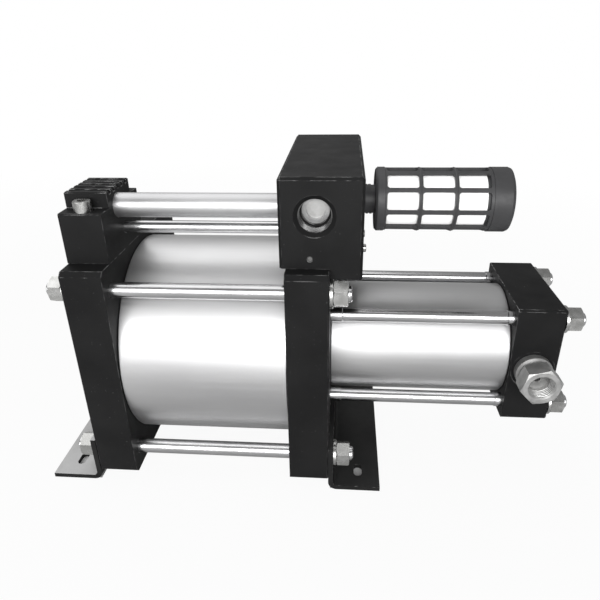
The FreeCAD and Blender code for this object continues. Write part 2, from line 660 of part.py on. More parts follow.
flip = FreeCAD.Rotation(V(0, 0, 1), 180)
drive_nuts = []
drive_washers = []
for sy, sz in corners:
    lift = foot_t if sz < 0 else as_size(0)
    y = sy * rod_y
    z = axis_height + sz * rod_z
    drive_washers.append(copy_of(washer, cap_out + lift, y, z))
    drive_washers.append(copy_of(washer, -cap_out - lift, y, z, flip))
    drive_nuts.append(copy_of(nut, cap_out + lift + washer_t, y, z))
    drive_nuts.append(copy_of(nut, -cap_out - lift - washer_t, y, z, flip))
group("drive_rod_nuts", drive_nuts)
group("drive_rod_washers", drive_washers)
group("booster_rod_nuts", [
    copy_of(nut, end_out + washer_t, sy * half_booster, axis_height + sz * half_booster) for sy, sz in corners])
group("booster_rod_washers", [
    copy_of(washer, end_out, sy * half_booster, axis_height + sz * half_booster) for sy, sz in corners])


# Feet: bent plates under the lower tie rod nuts
def foot(label, side):
    body = pushed(label + "_plate", "Y", [
        (0, 0), (side * foot_len, 0), (side * foot_len, foot_t), (side * foot_t, foot_t),
        (side * foot_t, foot_rise), (0, foot_rise)], -cap_w / 2, cap_w)
    dressed(body, "Fillet", foot_bend,
            lambda p, q: along("Y", p, q) and abs(abs(p.x) - foot_t.value) < 1e-6 and abs(p.z - foot_t.value) < 1e-6)
    dressed(body, "Fillet", foot_bend + foot_t,
            lambda p, q: along("Y", p, q) and abs(p.x) < 1e-6 and abs(p.z) < 1e-6)
    tools = []
    start = 0 if side > 0 else -foot_t
    for sy in (-1, 1):
        tools.append(rod("X", start - 1, sy * rod_y, axis_height - rod_z, rod_d / 2 + 0.5, foot_t + 2))
        reach = slot_len / 2 - slot_w / 2
        middle = sy * slot_pitch / 2
        x = side * slot_out
        tools.append(rod("Z", x, middle - reach, -1, slot_w / 2, foot_t + 2))
        tools.append(rod("Z", x, middle + reach, -1, slot_w / 2, foot_t + 2))
        tools.append(box(x - slot_w / 2, middle - reach, -1, slot_w, 2 * reach, foot_t + 2))
    return node(label, cut(body, tools), side * cap_out, 0, 0)


foot("foot_left", -1)
foot("foot_right", 1)

# Finned manifold on the left cap
top = tube_up + tube_d / 2 + manifold_over
ledge_top = top - ledge_drop
body = pushed("manifold_bar", "X", [
    (manifold_y0, cap_top), (manifold_y1, cap_top), (manifold_y1, ledge_top), (manifold_y1 - ledge_len, ledge_top),
    (manifold_y1 - ledge_len, top), (manifold_y0 + ledge_len, top), (manifold_y0 + ledge_len, ledge_top),
    (manifold_y0, ledge_top)], -cap_out, cap_t)


# Picks the rim of the finned top and the outer edge of both screw ledges
def manifold_rim(p, q):
    if min(p.z, q.z) > top.value - 1e-6:
        return True
    outer = min(abs(p.y - manifold_y0.value), abs(p.y - manifold_y1.value)) < 1e-6
    return along("X", p, q) and outer and abs(p.z - ledge_top.value) < 1e-6


dressed(body, "Chamfer", edge_break, manifold_rim)
tools = []
fin_slots = 5
for i in range(fin_slots):
    tools.append(box(-cap_out - 1, manifold_y0 + ledge_len + fin_gap + fin_pitch * i, top - fin_depth,
                     cap_t + 2, fin_gap, fin_depth + 2))
tools.append(rod("X", -cap_in - socket_in - tube_end_gap, tube_y, tube_up, tube_d / 2 + socket_gap,
                 socket_in + tube_end_gap + 1))
tools.append(rod("X", -air_x - 2, tube_y, tube_up, tube_d / 2 - tube_wall, air_x - cap_in - socket_in + 3))
tools.append(rod("Z", -air_x, tube_y, cap_top - 1, air_r, tube_up - cap_top + 1))
tools.append(rod("X", -cap_in - socket_in - tube_end_gap, pilot_y, pilot_up, pilot_d / 2 + socket_gap,
                 socket_in + tube_end_gap + 1))
tools.append(rod("X", -pilot_x - 1, pilot_y, pilot_up, gallery_r, pilot_x - cap_in - socket_in + 2))
tools.append(rod("Z", -pilot_x, pilot_y, cap_top - 1, branch_r, pilot_up - cap_top + 1))
for spot in screw_spots:
    tools.append(rod("Z", screw_x, spot, cap_top - 1, screw_r + 0.3, top - cap_top))
small_ring_t = as_size(1.8)
face_ring_air_r = air_r + 2.2
face_ring_pilot_r = gallery_r + 1.8


def face_groove(x, y, radius):
    g = small_ring_t / 2 + ring_gap
    r0 = radius - g
    r1 = radius + g
    tool = turned("face_groove", "Z", [(-1, r0), (-1, r1), (small_ring_t, r1), (small_ring_t, r0)])
    return place(tool, x, y, cap_top)


def face_ring(x, y, radius):
    return ring("Z", x, y, axis_height + cap_top + small_ring_t / 2 + ring_gap / 2, radius, small_ring_t - ring_gap)


tools.append(face_groove(-air_x, tube_y, face_ring_air_r))
tube_ring_at = as_size(5)


def tube_groove(x, y, z, diameter):
    g = tube_ring_t / 2 + ring_gap
    tool = turned("tube_groove", "X", [
        (-g, diameter / 2), (g, diameter / 2), (g, diameter / 2 + tube_ring_t + ring_gap),
        (-g, diameter / 2 + tube_ring_t + ring_gap)])
    return place(tool, x, y, z)


def tube_ring(x, y, z, diameter):
    return ring("X", x, y, axis_height + z, diameter / 2 + tube_ring_t / 2 + ring_gap / 2, tube_ring_t - ring_gap)


tools.append(tube_groove(-cap_in - tube_ring_at, tube_y, tube_up, tube_d))
tools.append(tube_groove(-cap_in - tube_ring_at, pilot_y, pilot_up, pilot_d))
node("finned_manifold", cut(body, tools), 0, 0, axis_height)


# Socket head screw standing on Z, head underside at zero
def cap_screw(stem, axis, radius, length, sign):
    head_r = radius * 1.63
    tall = 2 * radius
    body = turned(stem, axis, [
        (-sign * length, 0), (-sign * length, radius - 0.6), (-sign * (length - 0.6), radius), (0, radius),
        (0, head_r), (sign * (tall - 0.6), head_r), (sign * tall, head_r - 0.6), (sign * tall, 0)])
    socket = fresh("Part::Prism", "socket")
    socket.Polygon = 6
    socket.Placement = FreeCAD.Placement(V(), AXIS_TURN[axis])
    bind(socket, "Circumradius", radius * 0.87)
    bind(socket, "Height", radius * 1.2)
    spots = {"X": (1, 0, 0), "Z": (0, 0, 1)}
    low = tall - radius * 1.1
    place(socket, spots[axis][0] * low, 0, spots[axis][2] * low)
    return cut(body, [socket])


m8_screw = cap_screw("manifold_screw", "Z", screw_r, ledge_top - cap_top + screw_in, 1)
group("manifold_screws", [copy_of(m8_screw, screw_x, spot, axis_height + ledge_top) for spot in screw_spots])
group("manifold_seals", [face_ring(-air_x, tube_y, face_ring_air_r)])

# Air transfer tube, pilot tube and their seals
short_socket_in = spool_x - sleeve_d / 2 - socket_wall


def tube(label, diameter, wall, into_block, y, z):
    r1 = diameter / 2
    r0 = r1 - wall
    a0 = -cap_in - socket_in
    a1 = block_x0 + into_block
    c = 0.4
    body = turned(label, "X", [
        (a0, r0), (a0, r1 - c), (a0 + c, r1), (a1 - c, r1), (a1, r1 - c), (a1, r0)])
    return node(label, body, 0, y, axis_height + z)


tube("air_transfer_tube", tube_d, tube_wall, short_socket_in, tube_y, tube_up)
tube("pilot_tube", pilot_d, pilot_wall, socket_in, pilot_y, pilot_up)
block_ring_at = as_size(3.2)
group("tube_seals", [
    tube_ring(-cap_in - tube_ring_at, tube_y, tube_up, tube_d),
    tube_ring(-cap_in - tube_ring_at, pilot_y, pilot_up, pilot_d),
    tube_ring(block_x0 + block_ring_at, tube_y, tube_up, tube_d),
    tube_ring(block_x0 + block_ring_at, pilot_y, pilot_up, pilot_d)])

# Valve block
lip_x0 = cap_out + lip_gap
body = pushed("block_bar", "Y", [
    (block_x0, cap_top), (lip_x0, cap_top), (lip_x0, cap_top - lip_drop), (block_x1, cap_top - lip_drop),
    (block_x1, cap_top + block_tall), (block_x0, cap_top + block_tall)], block_y0, block_y1 - block_y0)
roof = (cap_top + block_tall).value
dressed(body, "Chamfer", block_chamfer,
        lambda p, q: p.z > roof - 1e-6 and q.z > roof - 1e-6 or along("Z", p, q) and abs(p.x - lip_x0.value) > 1)
tools = [
    rod("X", block_x0 - 1, 0, 0, drive_bore / 2 + drive_wall + barrel_relief, block_left + 1 + barrel_relief),
    rod("Y", spool_at, block_y0 - 1, spool_z, inlet_r, inlet_depth - inlet_web + 1),
    rod("Y", spool_at, block_y0, spool_z, inlet_hole_r, inlet_depth + 1),
    rod("Y", spool_at, sleeve_y0, spool_z, sleeve_d / 2, block_y1 - sleeve_y0 + 1)]
countersink = turned("countersink", "Y", [
    (-1, 0), (-1, inlet_r + inlet_chamfer + 1), (inlet_chamfer, inlet_r), (inlet_chamfer, 0)])
tools.append(place(countersink, spool_at, block_y0, spool_z))
tools.append(rod("X", block_x1 - sil_in - 0.5, sil_y, spool_z, sil_thread_d / 2 + nut_gap, sil_in + 1.5))
exhaust_y = sil_y + exhaust_off
tools.append(rod("X", spool_at, exhaust_y, spool_z, air_r, block_x1 - sil_in - spool_at))
tools.append(rod("X", block_x0 - 1, tube_y, tube_up, tube_d / 2 + socket_gap, short_socket_in + tube_end_gap + 1))
tools.append(rod("X", block_x0, tube_y - supply_off, tube_up, air_r, spool_at - block_x0))
tools.append(rod("X", block_x0 - 1, pilot_y, pilot_up, pilot_d / 2 + socket_gap, socket_in + tube_end_gap + 1))
tools.append(rod("X", block_x0 + socket_in, pilot_y, pilot_up, gallery_r, gallery_x - block_x0 - socket_in + 1))
tools.append(rod("Z", gallery_x, pilot_y, gallery_z, branch_r, pilot_up - gallery_z))
tools.append(rod("Y", gallery_x, block_y0 - 1, gallery_z, gallery_r, gallery_end - block_y0 + 1))
tools.append(rod("Z", gallery_x, gallery_end - gallery_r, gallery_z, branch_r, spool_z - gallery_z - sleeve_id / 2))
tools.append(rod("Z", gallery_x, right_pin_y, cap_top - 1, branch_r, gallery_z - cap_top + 1))
tools.append(rod("Z", port_b_x, port_b_y, cap_top - 1, air_r, spool_up - air_r))
tools.append(tube_groove(block_x0 + block_ring_at, tube_y, tube_up, tube_d))
tools.append(tube_groove(block_x0 + block_ring_at, pilot_y, pilot_up, pilot_d))
tools.append(face_groove(port_b_x, port_b_y, face_ring_air_r))
tools.append(face_groove(gallery_x, right_pin_y, face_ring_pilot_r))
for y in lip_screws_y:
    tools.append(rod("X", lip_x0 - 1, y, lip_screw_z, lip_screw_r + 0.2, block_x1 - lip_x0 + 2))
node("valve_block", cut(body, tools), 0, 0, axis_height)
group("valve_block_seals", [
    face_ring(port_b_x, port_b_y, face_ring_air_r), face_ring(gallery_x, right_pin_y, face_ring_pilot_r)])
m4_screw = cap_screw("lip_screw", "X", lip_screw_r, block_x1 - cap_out + lip_screw_in, 1)
group("valve_block_screws", [copy_of(m4_screw, block_x1, y, axis_height + lip_screw_z) for y in lip_screws_y])
plug_r = gallery_r - nut_gap
gallery_plug = turned("gallery_plug", "Y", [(0, 0), (0, plug_r - 0.3), (0.3, plug_r), (6, plug_r), (6, 0)])
node("gallery_plug", gallery_plug, gallery_x, block_y0 + 0.2, axis_height + gallery_z)

# Valve sleeve: ported tube with seal rings around it
r_out = sleeve_d / 2 - sleeve_fit
r_in = sleeve_id / 2
r_pilot = pilot_bore / 2
groove_half = sleeve_ring_t / 2 + ring_gap
groove_floor = r_out - sleeve_groove
sleeve_ring_mid = groove_floor + sleeve_groove / 2 - ring_gap
sleeve_ring_sec = sleeve_groove - 4 * ring_gap
profile = [(0, r_in - 3), (0, r_out)]
for a in ring_spots:
    profile += [(a - groove_half, r_out), (a - groove_half, groove_floor),
                (a + groove_half, groove_floor), (a + groove_half, r_out)]
profile += [(sleeve_len, r_out), (sleeve_len, r_pilot), (step_at, r_pilot), (step_at, r_in),
            (front_lip, r_in), (front_lip, r_in - 3)]
sleeve = turned("sleeve", "Y", profile)
tools = []
for a in hole_rows:
    tools.append(rod("X", -sleeve_d, a, 0, sleeve_hole_r, 2 * sleeve_d))
    tools.append(rod("Z", 0, a, -sleeve_d, sleeve_hole_r, 2 * sleeve_d))
tools.append(rod("Z", -gallery_off, pilot_hole_at, -sleeve_d, gallery_r, sleeve_d))
node("valve_sleeve", cut(sleeve, tools), spool_at, sleeve_y0, axis_height + spool_z)
group("sleeve_seals", [
    ring("Y", spool_at, sleeve_y0 + a, axis_height + spool_z, sleeve_ring_mid, sleeve_ring_sec) for a in ring_spots])

# Spool with its pilot piston and seal rings
spool_r = r_in - spool_fit
head_r = r_pilot - spool_fit
waist = spool_waist
head_at = step_at - front_lip + 1
spool_len = head_at + spool_head
spool_ring_floor = spool_r - spool_ring_t + 0.1
ring_half = spool_ring_t / 2 + ring_gap
profile = [(0, 0), (0, spool_r - 0.5), (0.5, spool_r)]
spool_rings = []
for i, a in enumerate(land_starts):
    b = a + land_w
    if i:
        profile += [(a, waist), (a, spool_r)]
    middle = a + land_w / 2
    spool_rings.append((middle, spool_r))
    profile += [(middle - ring_half, spool_r), (middle - ring_half, spool_ring_floor),
                (middle + ring_half, spool_ring_floor), (middle + ring_half, spool_r), (b, spool_r), (b, waist)]
head_mid = head_at + spool_head / 2
head_floor = head_r - spool_ring_t + 0.1
profile += [(head_at, waist), (head_at, head_r), (head_mid - ring_half, head_r), (head_mid - ring_half, head_floor),
            (head_mid + ring_half, head_floor), (head_mid + ring_half, head_r), (spool_len, head_r), (spool_len, 0)]
spool_rings.append((head_mid, head_r))
spool_y = sleeve_y0 + front_lip + face_gap
node("spool", turned("spool", "Y", profile), spool_at, spool_y, axis_height + spool_z)
group("spool_seals", [
    ring("Y", spool_at, spool_y + a, axis_height + spool_z, r - spool_ring_t / 2 + 0.06, spool_ring_t - 0.1)
    for a, r in spool_rings])

# End plug behind the spool
plug_r_out = sleeve_d / 2 - sleeve_fit
plug_face = sleeve_y1 + face_gap
nose_r = r_pilot - 0.2
nose_at = spool_y + spool_len + spool_travel + 0.3
plug_ring_at = (plug_face + block_y1) / 2
head_end = block_y1 + plug_head
end_plug = turned("end_plug", "Y", [
    (nose_at, 0), (nose_at, nose_r), (plug_face, nose_r), (plug_face, plug_r_out),
    (plug_ring_at - groove_half, plug_r_out), (plug_ring_at - groove_half, groove_floor),
    (plug_ring_at + groove_half, groove_floor), (plug_ring_at + groove_half, plug_r_out),
    (block_y1, plug_r_out), (block_y1, plug_r_out + 2.5), (head_end - 1, plug_r_out + 2.5),
    (head_end, plug_r_out + 1.5), (head_end, 0)])
plug_socket = fresh("Part::Prism", "plug_socket")
plug_socket.Polygon = 6
plug_socket.Placement = FreeCAD.Placement(V(), AXIS_TURN["Y"])
bind(plug_socket, "Circumradius", 7)
bind(plug_socket, "Height", plug_head + 3)
place(plug_socket, 0, block_y1 - 2, 0)
node("valve_end_plug", cut(end_plug, [plug_socket]), spool_at, 0, axis_height + spool_z)
group("end_plug_seal", [ring("Y", spool_at, plug_ring_at, axis_height + spool_z, sleeve_ring_mid, sleeve_ring_sec)])

# Silencer
sil_x = block_x1 + sil_neck
sil_r = sil_d / 2
cage_in = sil_r - sil_wall
bore_r = as_size(7)
cage_r = sil_r - 0.5
cage_end = sil_x + sil_body
ring_face = sil_x + sil_collar
profile = [
    (block_x1 - sil_in, bore_r), (block_x1 - sil_in, sil_thread_d / 2 - 0.8),
    (block_x1 - sil_in + 0.8, sil_thread_d / 2), (sil_x, sil_thread_d / 2), (sil_x, sil_r - 1.5),
    (sil_x + 1.5, sil_r), (ring_face - 1.5, sil_r), (ring_face - 1, cage_r), (cage_end, cage_r),
    (cage_end, cage_in), (sil_x + 4, cage_in), (sil_x + 4, bore_r)]
cage = turned("cage", "X", profile)
window = pushed("window", "Z", rectangle(-window_len / 2, window_len / 2, -window_w / 2, window_w / 2),
                cage_in - 3, sil_wall + 6)
dressed(window, "Fillet", 1.8, lambda p, q: along("Z", p, q))
window_rows = 9
first_rib = -8.7
tools = []
for k in range(window_rows):
    lean = first_rib + (k + 0.5) * 360.0 / window_rows
    spin = FreeCAD.Rotation(V(1, 0, 0), 90.0 - lean)
    for i in range(3):
        tools.append(copy_of(window, ring_face + window_len / 2 + window_pitch * i, 0, 0, spin))
window_set = fresh("Part::Compound", "windows")
window_set.Links = tools
node("silencer_cage", cut(cage, [window_set]), 0, sil_y, axis_height + spool_z)
element_r = cage_in - 0.2
element_in = element_r - 4
spigot = as_size(4)
element = turned("element", "X", [
    (sil_x + 4 + face_gap, element_in), (sil_x + 4 + face_gap, element_r),
    (cage_end - spigot - face_gap, element_r), (cage_end - spigot - face_gap, element_in)])
node("silencer_element", element, 0, sil_y, axis_height + spool_z)
cap_round = as_size(2.5)
sil_lid = turned("silencer_lid", "X", [
    (cage_end - spigot, 0), (cage_end - spigot, element_r), (cage_end + face_gap, element_r),
    (cage_end + face_gap, sil_r), (cage_end + sil_cap - cap_round, sil_r),
    (cage_end + sil_cap - cap_round * 0.3, sil_r - cap_round * 0.3), (cage_end + sil_cap, sil_r - cap_round),
    (cage_end + sil_cap, 15), (cage_end + sil_cap - 2, 14), (cage_end + sil_cap - 2, 0)])
node("silencer_end_cap", sil_lid, 0, sil_y, axis_height + spool_z)


# Check valves: positions along Y are measured outwards from the end cap's spot face
def valve_body(label, side):
    start = side * (end_cap_w / 2 - spot_face)
    t0 = -valve_in + spot_face
    collar_end = valve_collar_t
    neck_end = collar_end + valve_neck_t
    hex_end = neck_end + valve_hex_t
    chamber = poppet_d / 2 + run_gap
    web = neck_end - 5
    port_floor = hex_end - valve_port_in
    r = valve_thread_d / 2

    def at(a):
        return side * as_size(a)

    shell = turned(label + "_shell", "Y", [
        (at(t0), chamber), (at(t0), r - 1), (at(t0 + 1), r), (at(0), r), (at(0), valve_collar_d / 2),
        (at(collar_end - 1.5), valve_collar_d / 2), (at(collar_end), valve_collar_d / 2 - 1.5),
        (at(collar_end), valve_neck_d / 2), (at(neck_end + 0.5), valve_neck_d / 2), (at(neck_end + 0.5), gas_r),
        (at(web), gas_r), (at(web), chamber)])
    h0 = neck_end if side > 0 else -hex_end
    nut_part = hexagon("Y", valve_af, h0, valve_hex_t, 1.2)
    p0 = port_floor if side > 0 else -hex_end - 1
    mouth = turned("mouth", "Y", [
        (at(hex_end + 1), 0), (at(hex_end + 1), port_r + 2.2), (at(hex_end - 1.2), port_r), (at(hex_end - 1.2), 0)])
    hollow = cut(nut_part, [rod("Y", 0, p0, 0, port_r, valve_port_in + 1), mouth,
                            rod("Y", 0, h0 - 1, 0, gas_r, valve_hex_t + 2)])
    whole = joined([hollow, shell])
    whole.Placement = FreeCAD.Placement(V(), FreeCAD.Rotation(V(0, 1, 0), -14))
    return node(label, whole, valve_x, start, axis_height - valve_drop)


valve_body("outlet_valve_body", -1)
valve_body("inlet_valve_body", 1)
seat_y = end_cap_w / 2 - valve_in
seat_r = valve_thread_d / 2 - 0.1
for label, side in (("outlet_valve_seat", -1), ("inlet_spring_retainer", 1)):
    seat = turned(label, "Y", [(0, gas_r), (0, seat_r), (side * (seat_t - face_gap), seat_r),
                               (side * (seat_t - face_gap), gas_r)])
    node(label, seat, valve_x, side * pocket_floor, axis_height - valve_drop)
web_y = end_cap_w / 2 - spot_face + valve_collar_t + valve_neck_t - 5
cup = as_size(5)
cup_r = poppet_d / 2 - 1.4


def poppet(label, face, back):
    sign = 1 if back.value > face.value else -1
    r = poppet_d / 2
    body = turned(label, "Y", [
        (0, 0), (0, r - 1.5), (sign * 1.5, r), (sign * poppet_len, r), (sign * poppet_len, cup_r),
        (sign * (poppet_len - cup), cup_r), (sign * (poppet_len - cup), 0)])
    return node(label, body, valve_x, face, axis_height - valve_drop)


poppet("outlet_poppet", -seat_y - face_gap, -web_y)
poppet("inlet_poppet", web_y - face_gap, seat_y)


# Coil springs
def spring(label, coil_r, wire, length, turns, x, y, z, turn):
    body = fresh("PartDesign::Body", label)
    coil_r = as_size(coil_r)
    wire = as_size(wire)
    sketch = outline(body, "XZ_Plane", rectangle(coil_r - wire / 2, coil_r + wire / 2, 0, wire))
    coil = body.newObject("PartDesign::AdditiveHelix", body.Name + "_coil")
    coil.Profile = sketch
    coil.ReferenceAxis = (origin_part(body, "Z_Axis"), [""])
    coil.Mode = 2
    bind(coil, "Height", length - wire)
    coil.Turns = turns
    body.Tip = coil
    body.Placement = FreeCAD.Placement(V(), turn)
    return node(label, body, x, y, z)


valve_z = axis_height - valve_drop
spring_r = cup_r - 0.9
outlet_back = seat_y + face_gap + poppet_len - cup
inlet_back = web_y - face_gap - poppet_len + cup
spring("outlet_spring", spring_r, 1.2, web_y - outlet_back - 2 * face_gap, 4,
       valve_x, -outlet_back - face_gap, valve_z, FreeCAD.Rotation(V(1, 0, 0), 90))
spring("inlet_spring", spring_r, 1.2, inlet_back - seat_y - 2 * face_gap, 4,
       valve_x, inlet_back - face_gap, valve_z, FreeCAD.Rotation(V(1, 0, 0), 90))
group("valve_body_seals", [
    ring("Y", valve_x, side * (end_cap_w / 2 - spot_face - collar_ring_t / 2 - ring_gap), valve_z,
         valve_thread_d / 2 + collar_ring_t / 2 + 0.15, collar_ring_t)
    for side in (-1, 1)])

# Piston rod, pistons and their nuts and seals
half_piston = piston_t / 2
booster_centre = (mid_face + chamber_face) / 2
booster_x0 = booster_centre - booster_piston_t / 2
booster_x1 = booster_centre + booster_piston_t / 2
stub_end = half_piston + rod_nut_t + 2
small_end = booster_x1 - 1
rod_turn = turned("rod_turn", "X", [
    (-stub_end, 0), (-stub_end, stub_d / 2 - 1), (-stub_end + 1, stub_d / 2), (half_piston, stub_d / 2),
    (half_piston, piston_rod_d / 2), (booster_x0, piston_rod_d / 2), (booster_x0, small_stub_d / 2),
    (small_end - 1, small_stub_d / 2), (small_end, small_stub_d / 2 - 1), (small_end, 0)])
node("piston_rod", rod_turn, 0, 0, axis_height)
piston_r = drive_bore / 2 - piston_gap
seal_half = as_size(2.5)
seal_deep = piston_r - 5
wear_half = as_size(2)
wear_deep = piston_r - 1.5
wear_at = half_piston - 5
stub_hole = stub_d / 2 + nut_gap
profile = [(-half_piston, stub_hole), (-half_piston, piston_r)]
for a, half, deep in ((-wear_at, wear_half, wear_deep), (as_size(0), seal_half, seal_deep),
                      (wear_at, wear_half, wear_deep)):
    profile += [(a - half, piston_r), (a - half, deep), (a + half, deep), (a + half, piston_r)]
profile += [(half_piston, piston_r), (half_piston, stub_hole)]
node("drive_piston", turned("drive_piston", "X", profile), 0, 0, axis_height)
slide_r = drive_bore / 2 - 0.05


def band(x, half, inner, outer):
    body = turned("band", "X", rectangle(-half + ring_gap, half - ring_gap, inner + ring_gap, outer))
    return place(body, x, 0, axis_height)


group("drive_piston_seal", [band(0, seal_half, seal_deep, slide_r)])
group("drive_piston_wear_rings", [band(a, wear_half, wear_deep, slide_r) for a in (-wear_at, wear_at)])
small_r = booster_bore / 2 - 0.4
small_hole = small_stub_d / 2 + nut_gap
pocket_deep = small_nut_t + 3
pocket_r = small_nut_af * HEX_RADIUS + 1
half_b = booster_piston_t / 2
profile = [(-half_b, small_hole), (-half_b, small_r)]
booster_seal_at = as_size(8)
for a in (-booster_seal_at, booster_seal_at):
    profile += [(a - seal_half, small_r), (a - seal_half, small_r - 5), (a + seal_half, small_r - 5),
                (a + seal_half, small_r)]
profile += [(half_b, small_r), (half_b, pocket_r), (half_b - pocket_deep, pocket_r), (half_b - pocket_deep, small_hole)]
node("booster_piston", turned("booster_piston", "X", profile), booster_centre, 0, axis_height)
group("booster_piston_seals", [
    band(booster_centre + a, seal_half, small_r - 5, booster_bore / 2 - 0.05)
    for a in (-booster_seal_at, booster_seal_at)])
big_nut = cut(hexagon("X", rod_nut_af, 0, rod_nut_t), [rod("X", -1, 0, 0, stub_d / 2 + nut_gap, rod_nut_t + 2)])
thin_nut = cut(hexagon("X", small_nut_af, 0, small_nut_t),
               [rod("X", -1, 0, 0, small_stub_d / 2 + nut_gap, small_nut_t + 2)])
place(big_nut, -half_piston - rod_nut_t, 0, axis_height)
place(thin_nut, booster_x1 - pocket_deep, 0, axis_height)
group("piston_nuts", [big_nut, thin_nut])

# Rod bush and rod seals in the middle cap
bush = turned("bush", "X", rectangle(0, bush_len - face_gap, piston_rod_d / 2 + run_gap, bush_d / 2 - ring_gap))
node("rod_bush", bush, bush_floor, 0, axis_height)
rod_seal = turned("rod_seal", "X", rectangle(0, rod_seal_t, piston_rod_d / 2 + run_gap, bush_d / 2 - ring_gap))
group("rod_seals", [
    copy_of(rod_seal, boss_face + 0.3, 0, axis_height),
    copy_of(rod_seal, mid_face - seal_pocket + 0.1, 0, axis_height)])

# Pilot pins, springs and plugs
pin_back = pin_step + face_gap


def pin(label, side, y, z):
    tip = boss_face - pin_out
    r = pin_d / 2
    body = turned(label, "X", [
        (side * tip, 0), (side * tip, r - 0.8), (side * (tip + 0.8), r), (side * pin_back, r),
        (side * pin_back, pin_head_d / 2), (side * (pin_back + pin_head_t), pin_head_d / 2),
        (side * (pin_back + pin_head_t), 0)])
    return node(label, body, 0, y, axis_height + z)


pin("pilot_pin_left", -1, pilot_y, left_pin_up)
pin("pilot_pin_right", 1, right_pin_y, right_pin_up)
coil_from = pin_back + pin_head_t + face_gap
coil_len = cap_out - pin_plug_t - coil_from - face_gap
spring("pilot_spring_left", 4.2, 1.2, coil_len, 4, -coil_from - coil_len, pilot_y,
       axis_height + left_pin_up, FreeCAD.Rotation(V(0, 1, 0), 90))
spring("pilot_spring_right", 4.2, 1.2, coil_len, 4, coil_from, right_pin_y,
       axis_height + right_pin_up, FreeCAD.Rotation(V(0, 1, 0), 90))
plug_body = turned("pilot_plug", "X", [
    (0, 0), (0, pin_bore_d / 2 - 0.5), (0.5, pin_bore_d / 2 - nut_gap), (pin_plug_t, pin_bore_d / 2 - nut_gap),
    (pin_plug_t, 0)])
plug_key = fresh("Part::Prism", "plug_key")
plug_key.Polygon = 6
plug_key.Placement = FreeCAD.Placement(V(), AXIS_TURN["X"])
bind(plug_key, "Circumradius", 3.4)
bind(plug_key, "Height", 6)
place(plug_key, pin_plug_t - 5, 0, 0)
pilot_plug = cut(plug_body, [plug_key])
group("pilot_plugs", [
    copy_of(pilot_plug, -cap_out + pin_plug_t, pilot_y, axis_height + left_pin_up, flip),
    copy_of(pilot_plug, cap_out - pin_plug_t, right_pin_y, axis_height + right_pin_up)])

# Build, check and write one STEP file for each node
doc.recompute()
faults = []
for obj in doc.Objects:
    if "Invalid" in obj.State or "Error" in obj.State:
        faults.append("%s (%s)" % (obj.Name, obj.Label))
for label, obj in nodes:
    if obj.Shape.isNull() or not obj.Shape.isValid() or not obj.Shape.Solids:
        faults.append(label)
if faults:
    raise RuntimeError("these objects failed: " + ", ".join(faults))
os.makedirs("parts", exist_ok=True)
for label, obj in nodes:
    obj.Shape.exportStep(os.path.join("parts", label + ".step"))
    size = obj.Shape.BoundBox
    print("%-24s %d solid(s)  x %.1f..%.1f  y %.1f..%.1f  z %.1f..%.1f" % (
        label, len(obj.Shape.Solids), size.XMin, size.XMax, size.YMin, size.YMax, size.ZMin, size.ZMax))
print("%d nodes written" % len(nodes))
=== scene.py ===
# %% [markdown]
# # Dressing an air-driven pump
# The solid model of the pump arrives ready made: every cap, barrel, rod, nut and seal is a mesh at its true
# place and size. This file gives each of them a finish that is built from nodes, adds the screw threads and
# the raised hoops that are too fine for the solid model, winds wire springs in place of the solid ones, and
# sets up the studio.

# %% Load the solid model
import json
import math
import bpy
from mathutils import Matrix, Vector


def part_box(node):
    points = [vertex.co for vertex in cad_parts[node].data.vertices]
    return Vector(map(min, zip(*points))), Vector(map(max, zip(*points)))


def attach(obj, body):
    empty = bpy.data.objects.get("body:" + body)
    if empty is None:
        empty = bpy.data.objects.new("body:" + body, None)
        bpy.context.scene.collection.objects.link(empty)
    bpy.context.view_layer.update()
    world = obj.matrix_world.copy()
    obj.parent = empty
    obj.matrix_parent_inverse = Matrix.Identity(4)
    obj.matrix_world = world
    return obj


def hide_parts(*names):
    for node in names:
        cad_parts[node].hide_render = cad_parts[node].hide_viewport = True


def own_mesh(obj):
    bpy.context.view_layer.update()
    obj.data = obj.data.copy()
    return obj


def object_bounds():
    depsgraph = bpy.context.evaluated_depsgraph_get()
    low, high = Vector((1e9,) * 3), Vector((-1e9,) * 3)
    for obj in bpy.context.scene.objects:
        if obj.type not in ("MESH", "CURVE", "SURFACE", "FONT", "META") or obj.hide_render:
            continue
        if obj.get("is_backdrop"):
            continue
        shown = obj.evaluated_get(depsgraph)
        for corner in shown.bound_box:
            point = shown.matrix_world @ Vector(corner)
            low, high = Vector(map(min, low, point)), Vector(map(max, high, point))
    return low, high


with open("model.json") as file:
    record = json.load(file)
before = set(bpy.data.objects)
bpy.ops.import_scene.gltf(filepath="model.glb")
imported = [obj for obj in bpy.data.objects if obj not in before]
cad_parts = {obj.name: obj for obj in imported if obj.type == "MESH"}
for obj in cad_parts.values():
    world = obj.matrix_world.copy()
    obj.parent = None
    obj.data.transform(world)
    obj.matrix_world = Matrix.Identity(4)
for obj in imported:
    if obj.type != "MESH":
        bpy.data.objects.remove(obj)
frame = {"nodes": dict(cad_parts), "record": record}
nodes = frame["nodes"]
cad_low, cad_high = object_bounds()
MM = 0.001
print(len(nodes), "pieces, box", [round(v, 4) for v in (*cad_low, *cad_high)])

# %% [markdown]
# ## Small helpers for finishes
# A finish is a handful of nodes in front of one Principled shader. Every pattern here reads Object
# coordinates, which are metres in the pump's own frame, so a scale of 1000 means about one feature per
# millimetre. The helpers keep each finish short enough to read in one glance.


# %% Node helpers
def start(name):
    finish = bpy.data.materials.new(name)
    finish.use_nodes = True
    tree = finish.node_tree
    return finish, tree, tree.nodes["Principled BSDF"]


def put(tree, kind, **settings):
    node = tree.nodes.new(kind)
    for key, value in settings.items():
        setattr(node, key, value)
    return node


